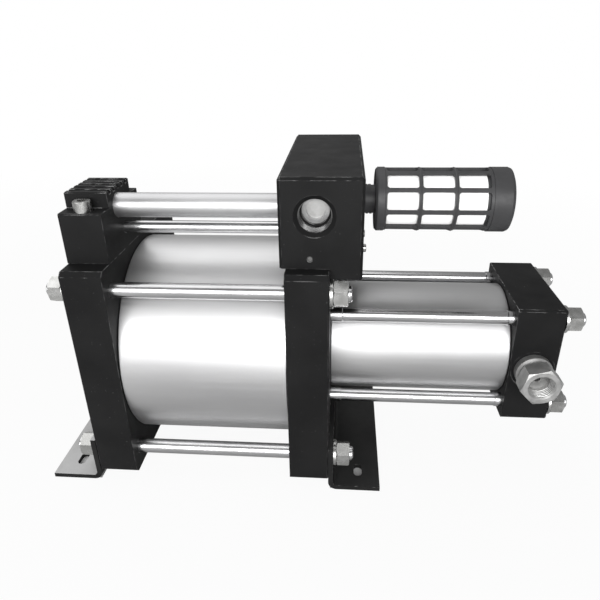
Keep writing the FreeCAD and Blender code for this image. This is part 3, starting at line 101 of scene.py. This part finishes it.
def noise(tree, scale, detail=3.0, stretch=(1, 1, 1)):
    place = put(tree, "ShaderNodeTexCoord")
    turn = put(tree, "ShaderNodeMapping")
    turn.inputs["Scale"].default_value = stretch
    cloud = put(tree, "ShaderNodeTexNoise")
    cloud.inputs["Scale"].default_value = scale
    cloud.inputs["Detail"].default_value = detail
    tree.links.new(place.outputs["Object"], turn.inputs["Vector"])
    tree.links.new(turn.outputs["Vector"], cloud.inputs["Vector"])
    return cloud.outputs["Fac"]


def remap(tree, source, low, high, to_low, to_high):
    node = put(tree, "ShaderNodeMapRange")
    tree.links.new(source, node.inputs["Value"])
    for key, value in (("From Min", low), ("From Max", high), ("To Min", to_low), ("To Max", to_high)):
        node.inputs[key].default_value = value
    return node.outputs["Result"]


def tint(tree, factor, first, second):
    node = put(tree, "ShaderNodeMix", data_type="RGBA")
    tree.links.new(factor, node.inputs["Factor"])
    node.inputs["A"].default_value = (*first, 1)
    node.inputs["B"].default_value = (*second, 1)
    return node.outputs["Result"]


def both(tree, first, second, operation="MULTIPLY"):
    node = put(tree, "ShaderNodeMath", operation=operation)
    tree.links.new(first, node.inputs[0])
    tree.links.new(second, node.inputs[1])
    return node.outputs["Value"]


def bump(tree, shader, height, strength, depth):
    node = put(tree, "ShaderNodeBump")
    node.inputs["Strength"].default_value = strength
    node.inputs["Distance"].default_value = depth
    tree.links.new(height, node.inputs["Height"])
    tree.links.new(node.outputs["Normal"], shader.inputs["Normal"])


# %% [markdown]
# ## Finding the worn edges
# Handling rubs a black coating off the sharp edges first. The Bevel node gives a normal that is rounded
# over near an edge, so where it leaves the true normal there is an edge. A cloud of noise breaks the line
# up, because real wear is never even. Upper edges are touched and knocked the most, so the mask is
# strongest where the rounded normal looks up and weak on upright and lower edges.


# %% Edge wear mask
def worn_edges(tree, width, patchy=140.0, amount=(0.44, 0.62)):
    rounded = put(tree, "ShaderNodeBevel", samples=6)
    rounded.inputs["Radius"].default_value = width
    flat = put(tree, "ShaderNodeNewGeometry")
    same = put(tree, "ShaderNodeVectorMath", operation="DOT_PRODUCT")
    tree.links.new(rounded.outputs["Normal"], same.inputs[0])
    tree.links.new(flat.outputs["True Normal"], same.inputs[1])
    edge = remap(tree, same.outputs["Value"], 0.99, 0.86, 0.0, 1.0)
    patches = remap(tree, noise(tree, patchy, 5.0), amount[0], amount[1], 0.0, 1.0)
    parts = put(tree, "ShaderNodeSeparateXYZ")
    tree.links.new(rounded.outputs["Normal"], parts.inputs["Vector"])
    upper = remap(tree, parts.outputs["Z"], 0.1, 0.5, 0.2, 1.0)
    return both(tree, both(tree, edge, patches), upper)


# %% [markdown]
# ## Black anodised aluminium
# The caps, the manifold and the valve block are milled aluminium with a black anodised skin. The skin is
# nearly flat black with a weak sheen, so the specular level is low. Bright metal shows only where the
# wear mask says so, together with a few pale specks that handling leaves on the faces.


# %% Black anodised finish
def black_anodised():
    finish, tree, shader = start("black_anodised")
    cloud = remap(tree, noise(tree, 28.0), 0.35, 0.65, 0.0, 1.0)
    coat = tint(tree, cloud, (0.0080, 0.0080, 0.0082), (0.0110, 0.0110, 0.0112))
    specks = remap(tree, noise(tree, 700.0, 6.0, (1, 0.35, 1)), 0.71, 0.78, 0.0, 0.3)
    wear = both(tree, worn_edges(tree, 0.0009), specks, "MAXIMUM")
    mix = put(tree, "ShaderNodeMix", data_type="RGBA")
    tree.links.new(wear, mix.inputs["Factor"])
    tree.links.new(coat, mix.inputs["A"])
    mix.inputs["B"].default_value = (0.46, 0.46, 0.46, 1)
    tree.links.new(mix.outputs["Result"], shader.inputs["Base Color"])
    tree.links.new(remap(tree, wear, 0.0, 1.0, 0.0, 0.8), shader.inputs["Metallic"])
    tree.links.new(remap(tree, noise(tree, 60.0, 4.0), 0.3, 0.7, 0.42, 0.52), shader.inputs["Roughness"])
    shader.inputs["Specular IOR Level"].default_value = 0.09
    bump(tree, shader, noise(tree, 2600.0, 2.0), 0.06, 0.00002)
    return finish


# %% [markdown]
# ## Satin barrels
# Both barrels are drawn aluminium tube. Drawing leaves hair lines along the tube, so the noise is
# stretched a hundredfold along X. The same lines move the roughness a little, which streaks the highlight.


# %% Barrel finish
def barrel_aluminium():
    finish, tree, shader = start("barrel_aluminium")
    lines = noise(tree, 900.0, 4.0, (0.01, 1, 1))
    cloud = noise(tree, 18.0, 3.0, (0.4, 1, 1))
    patches = remap(tree, cloud, 0.3, 0.7, 0.0, 1.0)
    tree.links.new(tint(tree, patches, (0.50, 0.50, 0.505), (0.58, 0.58, 0.582)), shader.inputs["Base Color"])
    tree.links.new(remap(tree, lines, 0.3, 0.7, 0.38, 0.48), shader.inputs["Roughness"])
    shader.inputs["Metallic"].default_value = 1.0
    bump(tree, shader, lines, 0.12, 0.00002)
    return finish


# %% [markdown]
# ## Plated nuts, washers and screws
# Zinc plating on forged nuts is bright but cloudy, and the flats show the grain of the forging. The
# corners are rubbed brighter than the flats.


# %% Plated steel finish
def plated_steel():
    finish, tree, shader = start("plated_steel")
    cloud = noise(tree, 160.0, 4.0)
    base = tint(tree, remap(tree, cloud, 0.35, 0.65, 0.0, 1.0), (0.40, 0.40, 0.39), (0.54, 0.54, 0.53))
    mix = put(tree, "ShaderNodeMix", data_type="RGBA")
    tree.links.new(worn_edges(tree, 0.0006, 700.0, (0.3, 0.5)), mix.inputs["Factor"])
    tree.links.new(base, mix.inputs["A"])
    mix.inputs["B"].default_value = (0.85, 0.85, 0.84, 1)
    tree.links.new(mix.outputs["Result"], shader.inputs["Base Color"])
    tree.links.new(remap(tree, cloud, 0.3, 0.7, 0.20, 0.32), shader.inputs["Roughness"])
    shader.inputs["Metallic"].default_value = 1.0
    bump(tree, shader, noise(tree, 900.0, 3.0), 0.10, 0.00002)
    return finish


# %% [markdown]
# ## Chromed rods and tubes
# The tie rods, the pilot tube and the piston rod are drawn, ground and chromed. They are the shiniest
# pieces. Drawing leaves faint lines along them, so the noise is stretched along X as on the barrels. The
# large air tube is only drawn, and its softer sheen comes from the same recipe with a higher roughness.


# %% Chromed rod finish
def drawn_rod(name, low_rough, high_rough, dark, light):
    finish, tree, shader = start(name)
    lines = noise(tree, 1400.0, 3.0, (0.01, 1, 1))
    haze = noise(tree, 60.0, 4.0, (0.25, 1, 1))
    patches = remap(tree, haze, 0.35, 0.65, 0.0, 1.0)
    tree.links.new(tint(tree, patches, dark, light), shader.inputs["Base Color"])
    tree.links.new(remap(tree, haze, 0.3, 0.7, low_rough, high_rough), shader.inputs["Roughness"])
    shader.inputs["Metallic"].default_value = 1.0
    bump(tree, shader, lines, 0.05, 0.00001)
    return finish


# %% [markdown]
# ## Turned stainless steel
# The check valves and the valve spool are turned from bar. Turning leaves fine rings round the axis,
# which for these pieces is Y.


# %% Turned steel finish
def turned_steel(name, dark, light, low_rough, high_rough):
    finish, tree, shader = start(name)
    rings = noise(tree, 1600.0, 3.0, (0.03, 1, 0.03))
    haze = noise(tree, 150.0, 4.0)
    base = tint(tree, remap(tree, haze, 0.35, 0.65, 0.0, 1.0), dark, light)
    tree.links.new(base, shader.inputs["Base Color"])
    tree.links.new(remap(tree, rings, 0.3, 0.7, low_rough, high_rough), shader.inputs["Roughness"])
    shader.inputs["Metallic"].default_value = 0.8
    bump(tree, shader, rings, 0.2, 0.00002)
    return finish


# %% [markdown]
# ## Powder coated feet
# Powder coat flows into a fine orange peel, so the bump is soft and about a millimetre wide. The corners of
# the plate are chipped through to steel in a few places. The upper side of the left foot is painted mid grey
# and its edge black, while the right foot stays black all over. This grey is a painted sheen: the light that
# the flat top of the foot catches is put into the coat's colour, only on faces that look up.


# %% Foot finish
def foot_paint(name, painted_top_sheen):
    finish, tree, shader = start(name)
    cloud = noise(tree, 35.0, 4.0)
    coat = tint(tree, remap(tree, cloud, 0.35, 0.65, 0.0, 1.0), (0.009, 0.009, 0.009), (0.015, 0.015, 0.015))
    facing = put(tree, "ShaderNodeNewGeometry")
    parts = put(tree, "ShaderNodeSeparateXYZ")
    tree.links.new(facing.outputs["True Normal"], parts.inputs["Vector"])
    # Painted sheen: faces that look up are painted pale grey, as if they caught the light.
    upward = remap(tree, parts.outputs["Z"], 0.80, 0.98, 0.0, painted_top_sheen)
    patches = remap(tree, noise(tree, 55.0, 5.0), 0.25, 0.75, 0.80, 1.0)
    top_sheen_mix = put(tree, "ShaderNodeMix", data_type="RGBA")
    tree.links.new(both(tree, upward, patches), top_sheen_mix.inputs["Factor"])
    tree.links.new(coat, top_sheen_mix.inputs["A"])
    top_sheen_mix.inputs["B"].default_value = (0.54, 0.54, 0.54, 1)
    mix = put(tree, "ShaderNodeMix", data_type="RGBA")
    wear = worn_edges(tree, 0.0007, 240.0, (0.54, 0.68))
    tree.links.new(wear, mix.inputs["Factor"])
    tree.links.new(top_sheen_mix.outputs["Result"], mix.inputs["A"])
    mix.inputs["B"].default_value = (0.36, 0.36, 0.35, 1)
    tree.links.new(mix.outputs["Result"], shader.inputs["Base Color"])
    tree.links.new(remap(tree, noise(tree, 200.0), 0.3, 0.7, 0.36, 0.50), shader.inputs["Roughness"])
    shader.inputs["Specular IOR Level"].default_value = 0.12
    bump(tree, shader, noise(tree, 1100.0, 1.0), 0.18, 0.00006)
    return finish


# %% [markdown]
# ## Silencer cage and its porous sleeve
# The cage is moulded in dark grey plastic with a faint spark-eroded grain. Behind its windows sits a white
# sleeve of sintered beads. The beads are real relief on the sleeve, so its bump comes from a cell pattern.
# The same pattern paints the gaps between the beads a little darker, as painted shade.


# %% Moulded cage finish
def cage_plastic():
    finish, tree, shader = start("cage_plastic")
    tree.links.new(tint(tree, noise(tree, 70.0, 4.0), (0.028, 0.028, 0.029), (0.050, 0.050, 0.052)),
                   shader.inputs["Base Color"])
    tree.links.new(remap(tree, noise(tree, 300.0, 4.0), 0.3, 0.7, 0.34, 0.50), shader.inputs["Roughness"])
    shader.inputs["Specular IOR Level"].default_value = 0.30
    bump(tree, shader, noise(tree, 2600.0, 2.0), 0.15, 0.00004)
    return finish


# %% Porous sleeve finish
def element_plastic():
    finish, tree, shader = start("element_plastic")
    place = put(tree, "ShaderNodeTexCoord")
    beads = put(tree, "ShaderNodeTexVoronoi")
    beads.inputs["Scale"].default_value = 1500.0
    tree.links.new(place.outputs["Object"], beads.inputs["Vector"])
    bead_relief_gap_shade = remap(tree, beads.outputs["Distance"], 0.0, 0.7, 1.0, 0.0)
    # Painted shade: the sleeve is tinted darker in the gaps between the beads.
    tree.links.new(tint(tree, bead_relief_gap_shade, (0.90, 0.90, 0.89), (0.97, 0.97, 0.965)), shader.inputs["Base Color"])
    tree.links.new(remap(tree, noise(tree, 90.0), 0.3, 0.7, 0.7, 0.9), shader.inputs["Roughness"])
    shader.inputs["Specular IOR Level"].default_value = 0.3
    bump(tree, shader, bead_relief_gap_shade, 0.35, 0.00015)
    return finish


# %% [markdown]
# ## Seals, wear rings, springs and the bush
# These pieces sit inside the pump. They still get the finish they would show on the bench: black rubber
# with a dull bloom, cream bearing plastic, drawn wire, machined pistons and a bronze bush.


# %% Finishes of the inner pieces
def plain_finish(name, dark, light, rough, metallic=0.0, grain=800.0, stretch=(1, 1, 1), level=0.4):
    finish, tree, shader = start(name)
    cloud = noise(tree, grain * 0.15, 4.0)
    patches = remap(tree, cloud, 0.35, 0.65, 0.0, 1.0)
    tree.links.new(tint(tree, patches, dark, light), shader.inputs["Base Color"])
    tree.links.new(remap(tree, cloud, 0.3, 0.7, rough - 0.07, rough + 0.07), shader.inputs["Roughness"])
    shader.inputs["Metallic"].default_value = metallic
    shader.inputs["Specular IOR Level"].default_value = level
    bump(tree, shader, noise(tree, grain, 3.0, stretch), 0.15, 0.00003)
    return finish


# %% Build every finish once
around_x = (1, 0.03, 0.03)
finishes = {
    "black_anodised": black_anodised(),
    "barrel_aluminium": barrel_aluminium(),
    "plated_steel": plated_steel(),
    "rod_chrome": drawn_rod("rod_chrome", 0.18, 0.28, (0.46, 0.46, 0.465), (0.58, 0.58, 0.585)),
    "foot_paint": foot_paint("foot_coat_clean", 0.02),
    "cage_plastic": cage_plastic(),
    "element_plastic": element_plastic(),
    "valve_steel": turned_steel("valve_steel", (0.34, 0.34, 0.335), (0.46, 0.46, 0.455), 0.36, 0.50),
    "plug_steel": plain_finish("plug_steel", (0.14, 0.14, 0.138), (0.24, 0.24, 0.235), 0.40, 1.0),
    "spring_steel": plain_finish("spring_steel", (0.40, 0.40, 0.41), (0.58, 0.58, 0.59), 0.30, 1.0),
    "seal_rubber": plain_finish("seal_rubber", (0.012, 0.012, 0.012), (0.026, 0.026, 0.026), 0.6),
    "wear_plastic": plain_finish("wear_plastic", (0.50, 0.47, 0.40), (0.60, 0.57, 0.50), 0.55),
    "piston_aluminium": plain_finish(
        "piston_aluminium", (0.48, 0.48, 0.49), (0.62, 0.62, 0.63), 0.3, 1.0, 1200.0, around_x),
    "bush_brass": plain_finish(
        "bush_brass", (0.42, 0.27, 0.12), (0.55, 0.38, 0.19), 0.34, 1.0, 1200.0, around_x),
}
own_finishes = {
    # The left foot gets a strong painted sheen on its top.
    "foot_left": foot_paint("foot_coat_painted_sheen", 0.85),
    "air_transfer_tube": drawn_rod("drawn_tube", 0.38, 0.48, (0.44, 0.44, 0.445), (0.52, 0.52, 0.525)),
    # The valve sleeve is painted darker than the other turned steel, as painted shade for the hole it sits in
    # behind the air inlet.
    "valve_sleeve": turned_steel("sleeve_steel_painted_shade", (0.30, 0.30, 0.30), (0.40, 0.40, 0.40), 0.30, 0.42),
}
bare_thread = drawn_rod("bare_thread", 0.20, 0.34, (0.10, 0.10, 0.10), (0.26, 0.26, 0.26))
print(len(finishes) + len(own_finishes) + 1, "finishes")

# %% [markdown]
# ## Dress the solid pieces
# The record that came with the model names a finish for every piece, so dressing is one loop. Three pieces
# look different from others of their material and get their own: the left foot has a painted sheen on its
# top, the air tube is rougher, and the valve sleeve is painted darker as painted shade for the hole it sits
# in. The meshes are loose triangles with their own normals and stay as they are.


# %% Assign finishes
def dress(obj, finish):
    obj.data.materials.clear()
    obj.data.materials.append(finish)


for part in frame["record"]["subparts"]:
    dress(nodes[part["node"]], finishes[part["material_slot"]])
for name, finish in own_finishes.items():
    dress(nodes[name], finish)

# %% [markdown]
# ## Screw threads
# A thread is one small ridge wound round a rod. A triangle is added beside the axis, the Screw modifier
# winds it up, and filling the two open ends closes the skin. Winding about Z and turning the result keeps
# the recipe the same for rods along X and ports along Y.


# %% Thread helper
def pick_none():
    bpy.ops.object.select_all(action="DESELECT")


TURNS = {"X": (0, math.radians(90), 0), "Y": (math.radians(-90), 0, 0)}
THREAD_STEPS = 28
TRIANGLE_SIDES = 3
THREAD_END_SIDES = 4


def wound(outline, axis, start_at, pitch, rounds, steps, end_sides):
    wind = outline.modifiers.new("wind", "SCREW")
    wind.screw_offset = pitch
    wind.iterations = rounds
    wind.steps = steps
    wind.render_steps = steps
    wind.use_normal_calculate = True
    bpy.ops.object.modifier_apply(modifier="wind")
    bpy.ops.object.mode_set(mode="EDIT")
    bpy.ops.mesh.select_all(action="SELECT")
    bpy.ops.mesh.remove_doubles(threshold=1e-7)
    bpy.ops.mesh.fill_holes(sides=end_sides)
    bpy.ops.mesh.normals_make_consistent(inside=False)
    bpy.ops.object.mode_set(mode="OBJECT")
    outline.rotation_euler = TURNS[axis]
    outline.location = start_at
    bpy.ops.object.transform_apply(location=True, rotation=True, scale=True)
    return outline


def thread(name, axis, start_at, length, radius, pitch, height, inward=False):
    pick_none()
    side = height * 1.2
    bpy.ops.mesh.primitive_circle_add(
        vertices=TRIANGLE_SIDES, radius=side, fill_type="NOTHING", location=(radius, 0, 0),
        rotation=(math.radians(90), 0, math.radians(180) if inward else 0))
    ridge = bpy.context.object
    ridge.name = name
    bpy.ops.object.transform_apply(location=True, rotation=True, scale=True)
    bpy.ops.object.mode_set(mode="EDIT")
    bpy.ops.mesh.select_all(action="SELECT")
    bpy.ops.transform.rotate(value=math.radians(90), orient_axis="Y", center_override=(radius, 0, 0))
    bpy.ops.object.mode_set(mode="OBJECT")
    rounds = max(1, int(length / pitch) - 1)
    return wound(ridge, axis, start_at, pitch, rounds, THREAD_STEPS, THREAD_END_SIDES)


# %% [markdown]
# Several ridges that belong together, such as those on the eight ends of the drive rods, are joined into
# one piece, so that the list of pieces stays short.


# %% Join helper
def joined(name, pieces, finish, body="pump_frame"):
    pick_none()
    for piece in pieces:
        piece.select_set(True)
    bpy.context.view_layer.objects.active = pieces[0]
    if len(pieces) > 1:
        bpy.ops.object.join()
    whole = bpy.context.object
    whole.name = name
    dress(whole, finish)
    bpy.ops.object.shade_smooth_by_angle(angle=math.radians(30))
    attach(whole, body)
    print(name, len(whole.data.vertices), "points")
    return whole


# %% [markdown]
# ## Threads on the tie rods
# The rods are M12 with a pitch of 1.75 mm. They show where a rod stands out of its nut, and where the
# booster rods enter the middle cap. All places come from the boxes of the solid pieces.

# %% Tie rod threads
rod_r = 6.0 * MM
pitch = 1.75 * MM
ridge = 0.22 * MM
drive_low, drive_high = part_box("drive_tie_rods")
booster_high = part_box("booster_tie_rods")[1]
barrel_low, barrel_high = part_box("drive_barrel")
axis_z = (barrel_low.z + barrel_high.z) / 2
rod_y = drive_high.y - rod_r
booster_y = booster_high.y - rod_r
end_show = 2.6 * MM
drive_ends = []
foot_plate = 4.0 * MM
for side_y in (-1, 1):
    for side_z in (-1, 1):
        inset = 0 if side_z < 0 else foot_plate
        y, z = side_y * rod_y, axis_z + side_z * rod_y
        for x in (drive_low.x + inset, drive_high.x - inset - end_show - pitch):
            first = (x + 0.5 * pitch, y, z)
            drive_ends.append(thread("ridge", "X", first, end_show + pitch, rod_r, pitch, ridge))
joined("drive_rod_threads", drive_ends, finishes["plated_steel"])
cap_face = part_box("booster_barrel")[0].x
near_show = 9.0 * MM
near_gap = 0.4 * MM
booster_ends = []
for side_y in (-1, 1):
    for side_z in (-1, 1):
        y, z = side_y * booster_y, axis_z + side_z * booster_y
        far = (booster_high.x - end_show - 0.5 * pitch, y, z)
        near = (cap_face + near_gap, y, z)
        booster_ends.append(thread("ridge", "X", far, end_show + pitch, rod_r, pitch, ridge))
        booster_ends.append(thread("ridge", "X", near, near_show, rod_r, pitch, ridge))
joined("booster_rod_threads", booster_ends, finishes["rod_chrome"])

# %% [markdown]
# ## Threads in the ports and on the silencer
# The air inlet and both gas ports are pipe threads, cut inside a hole, so their ridge points inwards. The
# inlet is cut after the black coating, so its ridge is bare, dulled aluminium and glints below the bright
# disc, as in the photograph. The silencer screws in by its neck, and a few of its threads show beside the
# block.

# %% Port and neck threads
block_low, block_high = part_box("valve_block")
sleeve_low, sleeve_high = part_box("valve_sleeve")
spool_x = (sleeve_low.x + sleeve_high.x) / 2
spool_z = (sleeve_low.z + sleeve_high.z) / 2
pipe_pitch = 1.814 * MM
pipe_ridge = 0.35 * MM
inlet_r = 12.05 * MM
inlet_set_in = 3.4 * MM
inlet_start = (spool_x, block_low.y + inlet_set_in, spool_z)
inlet_depth = 12.5 * MM
inlet_ridge = 0.6 * MM
inlet = thread("ridge", "Y", inlet_start, inlet_depth, inlet_r, pipe_pitch, inlet_ridge, inward=True)
joined("air_inlet_thread", [inlet], bare_thread)
gas_port_r = 9.3 * MM
gas_ports = []
port_depth = 12 * MM
port_set_in = 1.8 * MM
for body_name, front in (("outlet_valve_body", True), ("inlet_valve_body", False)):
    low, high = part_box(body_name)
    x, z = (low.x + high.x) / 2, (low.z + high.z) / 2
    y = low.y + port_set_in if front else high.y - port_set_in - port_depth
    gas_ports.append(thread("ridge", "Y", (x, y, z), port_depth, gas_port_r, pipe_pitch, pipe_ridge,
                            inward=True))
joined("gas_port_threads", gas_ports, finishes["valve_steel"])
neck_r = 10.45 * MM
neck_show = 8.5 * MM
cage_collar = 8.0 * MM
element_low, element_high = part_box("silencer_element")
sil_y = (element_low.y + element_high.y) / 2
sil_z = (element_low.z + element_high.z) / 2
neck_pitch = 2.6 * MM
neck_ridge = 0.9 * MM
neck_gap = 0.6 * MM
neck_start = (block_high.x + neck_gap, sil_y, sil_z)
neck = thread("ridge", "X", neck_start, neck_show, neck_r, neck_pitch, neck_ridge)
joined("silencer_neck_thread", [neck], finishes["cage_plastic"])

# %% [markdown]
# ## Wound springs
# Four coil springs push the pilot pins and the valve poppets back. A spring is the one kind of piece here
# that changes its shape when a joint moves, so the solid ones are replaced by wound wire, a small circle
# swept by the Screw modifier. The record lists which spring belongs to which joint and where its fixed end
# is; the fixed end is read, but the wire is not made to shorten when the joint moves.


# %% Wound springs
WIRE_SIDES = 16
COIL_STEPS = 32
SPRING_WIRE_R = 0.6 * MM
SPRING_TURNS = 4


def wound_spring(node, axis, wire_r, turns):
    low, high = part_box(node)
    side = "XYZ".index(axis)
    length = high[side] - low[side]
    start_at = (low + high) / 2
    start_at[side] = low[side]
    pick_none()
    bpy.ops.mesh.primitive_circle_add(
        vertices=WIRE_SIDES, radius=wire_r, fill_type="NOTHING",
        location=((high.z - low.z) / 2 - wire_r, 0, wire_r), rotation=(math.radians(90), 0, 0))
    coil = bpy.context.object
    bpy.ops.object.transform_apply(location=True, rotation=True, scale=True)
    pitch = (length - 2 * wire_r) / turns
    return wound(coil, axis, start_at, pitch, turns, COIL_STEPS, WIRE_SIDES), length


for joint in frame["record"]["behaviour"]["joints"]:
    for giving in joint.get("deforming_nodes", []):
        axis = giving["mode"][-1].upper()
        coil, length = wound_spring(giving["node"], axis, SPRING_WIRE_R, SPRING_TURNS)
        coil = joined(giving["node"] + "_coil", [coil], finishes["spring_steel"])
        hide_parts(giving["node"])
        low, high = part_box(giving["node"])
        anchor = (low + high) / 2
        anchor["XYZ".index(axis)] = giving["fixed_end_" + axis.lower() + "_m"]
        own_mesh(coil)

# %% [markdown]
# ## Hoops of the silencer cage
# Between the window rows the cage carries thin raised hoops. Each is a plain ring that is sunk into the wall
# of the cage, so that only a low rounded step of it stands out.


# %% Silencer hoops
def hoop(x, radius, width):
    pick_none()
    bpy.ops.mesh.primitive_torus_add(
        major_radius=radius, minor_radius=width / 2, major_segments=72, minor_segments=10,
        location=(x, sil_y, sil_z), rotation=TURNS["X"])
    ring = bpy.context.object
    bpy.ops.object.transform_apply(location=True, rotation=True, scale=True)
    return ring


cage_r = 23.0 * MM
window_pitch = 25.0 * MM
window = 22.4 * MM
first_window = block_high.x + neck_show + cage_collar
hoop_width = 1.5 * MM
relief = 0.35 * MM
hoops = []
for step in (1, 2):
    centre = first_window + window_pitch * step - (window_pitch - window) / 2
    hoops.append(hoop(centre, cage_r + relief - hoop_width / 2, hoop_width))
print(len(hoops), "hoops stand", round(relief / MM, 2), "mm proud")
joined("silencer_hoops", hoops, finishes["cage_plastic"])

# %% [markdown]
# ## The floor and the white surroundings
# The floor is pale and receives the shadow. Seen by the camera it is mostly its own white light, so the
# shadow stays faint, as in a catalogue picture, and it fades to full white farther out. In reflections it
# stays a plain floor without glow, which darkens the lower half of the barrels as in the photograph. Under
# the two foot plates the glow is left off, so that the slots show floor in shadow. The world is white
# where the camera looks at it and an even grey in reflections and as a lamp.


# %% Studio surroundings
PLATE_RIM = 1.5 * MM


def looked_at(tree):
    return put(tree, "ShaderNodeLightPath").outputs["Is Camera Ray"]


def outside_plate(tree, node):
    low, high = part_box(node)
    here = put(tree, "ShaderNodeTexCoord")
    parts = put(tree, "ShaderNodeSeparateXYZ")
    tree.links.new(here.outputs["Object"], parts.inputs["Vector"])
    steps = []
    for name, side in (("X", 0), ("Y", 1)):
        centre = put(tree, "ShaderNodeMath", operation="SUBTRACT")
        tree.links.new(parts.outputs[name], centre.inputs[0])
        centre.inputs[1].default_value = (low[side] + high[side]) / 2
        reach = put(tree, "ShaderNodeMath", operation="ABSOLUTE")
        tree.links.new(centre.outputs["Value"], reach.inputs[0])
        beyond = put(tree, "ShaderNodeMath", operation="GREATER_THAN")
        tree.links.new(reach.outputs["Value"], beyond.inputs[0])
        beyond.inputs[1].default_value = (high[side] - low[side]) / 2 - PLATE_RIM
        steps.append(beyond.outputs["Value"])
    return both(tree, steps[0], steps[1], "MAXIMUM")


floor_size = 8
floor_drop = 0.0003
pick_none()
bpy.ops.mesh.primitive_plane_add(size=floor_size, location=(0, 0, -floor_drop))
floor = bpy.context.object
floor.name = "studio_floor"
floor_finish, tree, shader = start("studio_floor")
shader.inputs["Base Color"].default_value = (0.50, 0.50, 0.50, 1)
shader.inputs["Roughness"].default_value = 0.9
glow = put(tree, "ShaderNodeEmission")
glow.inputs["Strength"].default_value = 1.0
mix = put(tree, "ShaderNodeMixShader")
place = put(tree, "ShaderNodeTexCoord")
away = put(tree, "ShaderNodeVectorMath", operation="LENGTH")
tree.links.new(place.outputs["Object"], away.inputs[0])
own_light = remap(tree, away.outputs["Value"], 0.35, 1.2, 0.94, 1.0)
own_light = both(tree, own_light, looked_at(tree))
for plate in ("foot_left", "foot_right"):
    own_light = both(tree, own_light, outside_plate(tree, plate))
tree.links.new(own_light, mix.inputs["Fac"])
tree.links.new(shader.outputs["BSDF"], mix.inputs[1])
tree.links.new(glow.outputs["Emission"], mix.inputs[2])
tree.links.new(mix.outputs["Shader"], tree.nodes["Material Output"].inputs["Surface"])
dress(floor, floor_finish)
floor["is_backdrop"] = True

world = bpy.data.worlds.new("studio")
bpy.context.scene.world = world
world.use_nodes = True
sky = world.node_tree.nodes["Background"]
sky.inputs["Color"].default_value = (1, 1, 1, 1)
world.node_tree.links.new(remap(world.node_tree, looked_at(world.node_tree), 0.0, 1.0, 0.36, 1.0),
                          sky.inputs["Strength"])

# %% [markdown]
# ## Lamps
# One wide softbox stands near the camera and lays the bright band along both barrels. A larger and weaker
# one hangs above the left half, which lights the upper third of the drive barrel and leaves the booster
# barrel a shade darker, as in the photograph.


# %% Soft lamps
def softbox(name, place, target, size, power):
    data = bpy.data.lights.new(name, "AREA")
    data.shape = "RECTANGLE"
    data.size, data.size_y = size
    data.energy = power
    lamp = bpy.data.objects.new(name, data)
    bpy.context.scene.collection.objects.link(lamp)
    lamp.location = place
    lamp.rotation_mode = "QUATERNION"
    lamp.rotation_quaternion = (Vector(target) - Vector(place)).to_track_quat("-Z", "Y")
    print(name, power, "W")
    return lamp


barrel_x = (barrel_low.x + barrel_high.x) / 2
middle = (barrel_x + 0.05, 0.0, 0.12)
softbox("front_softbox", (barrel_x + 0.05, -1.3, 0.58), middle, (1.7, 0.85), 27.0)
softbox("top_softbox", (barrel_x - 0.55, 0.35, 1.3), (barrel_x - 0.5, 0.0, 0.12), (1.5, 1.7), 12.0)

# %% [markdown]
# ## Camera
# The camera stands in front of the drive barrel and looks down at it. Its place and angles were found by
# matching the corners of the caps to the photograph. The picture is square, and the focal length in
# pixels over the picture's 600 pixels gives the lens.

# %% Camera
PHOTO_SIZE = 600
FOCAL_PIXELS = 553.9
SENSOR = 36.0
yaw, pitch_down, roll = (math.radians(a) for a in (-4.865, -26.063, -1.041))
level_part = math.cos(pitch_down)
forward = Vector((math.sin(yaw) * level_part, math.cos(yaw) * level_part, math.sin(pitch_down)))
level = Vector((math.cos(yaw), -math.sin(yaw), 0))
upward = level.cross(forward)
right = math.cos(roll) * level + math.sin(roll) * upward
up = -math.sin(roll) * level + math.cos(roll) * upward
data = bpy.data.cameras.new("photo_camera")
data.sensor_width = SENSOR
data.lens = FOCAL_PIXELS / PHOTO_SIZE * SENSOR
camera = bpy.data.objects.new("photo_camera", data)
bpy.context.scene.collection.objects.link(camera)
camera_place = (barrel_x + 0.10646, -0.43708, 0.34767)
standing = Matrix.Translation(camera_place)
camera.matrix_world = standing @ Matrix((right, up, -forward)).transposed().to_4x4()
bpy.context.scene.camera = camera
bpy.context.scene.view_settings.view_transform = "Standard"
print("lens", round(data.lens, 2), "mm")

# %% [markdown]
# ## Last measures
# The dressed pump must stay inside the box of the solid model, so the script prints by how many millimetres
# its box has grown past that box on each side.

# %% Print how far the box has grown
low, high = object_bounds()
grown = [round(v / MM, 2) for v in (*(cad_low - low), *(high - cad_high))]
print("grown by", grown, "mm")
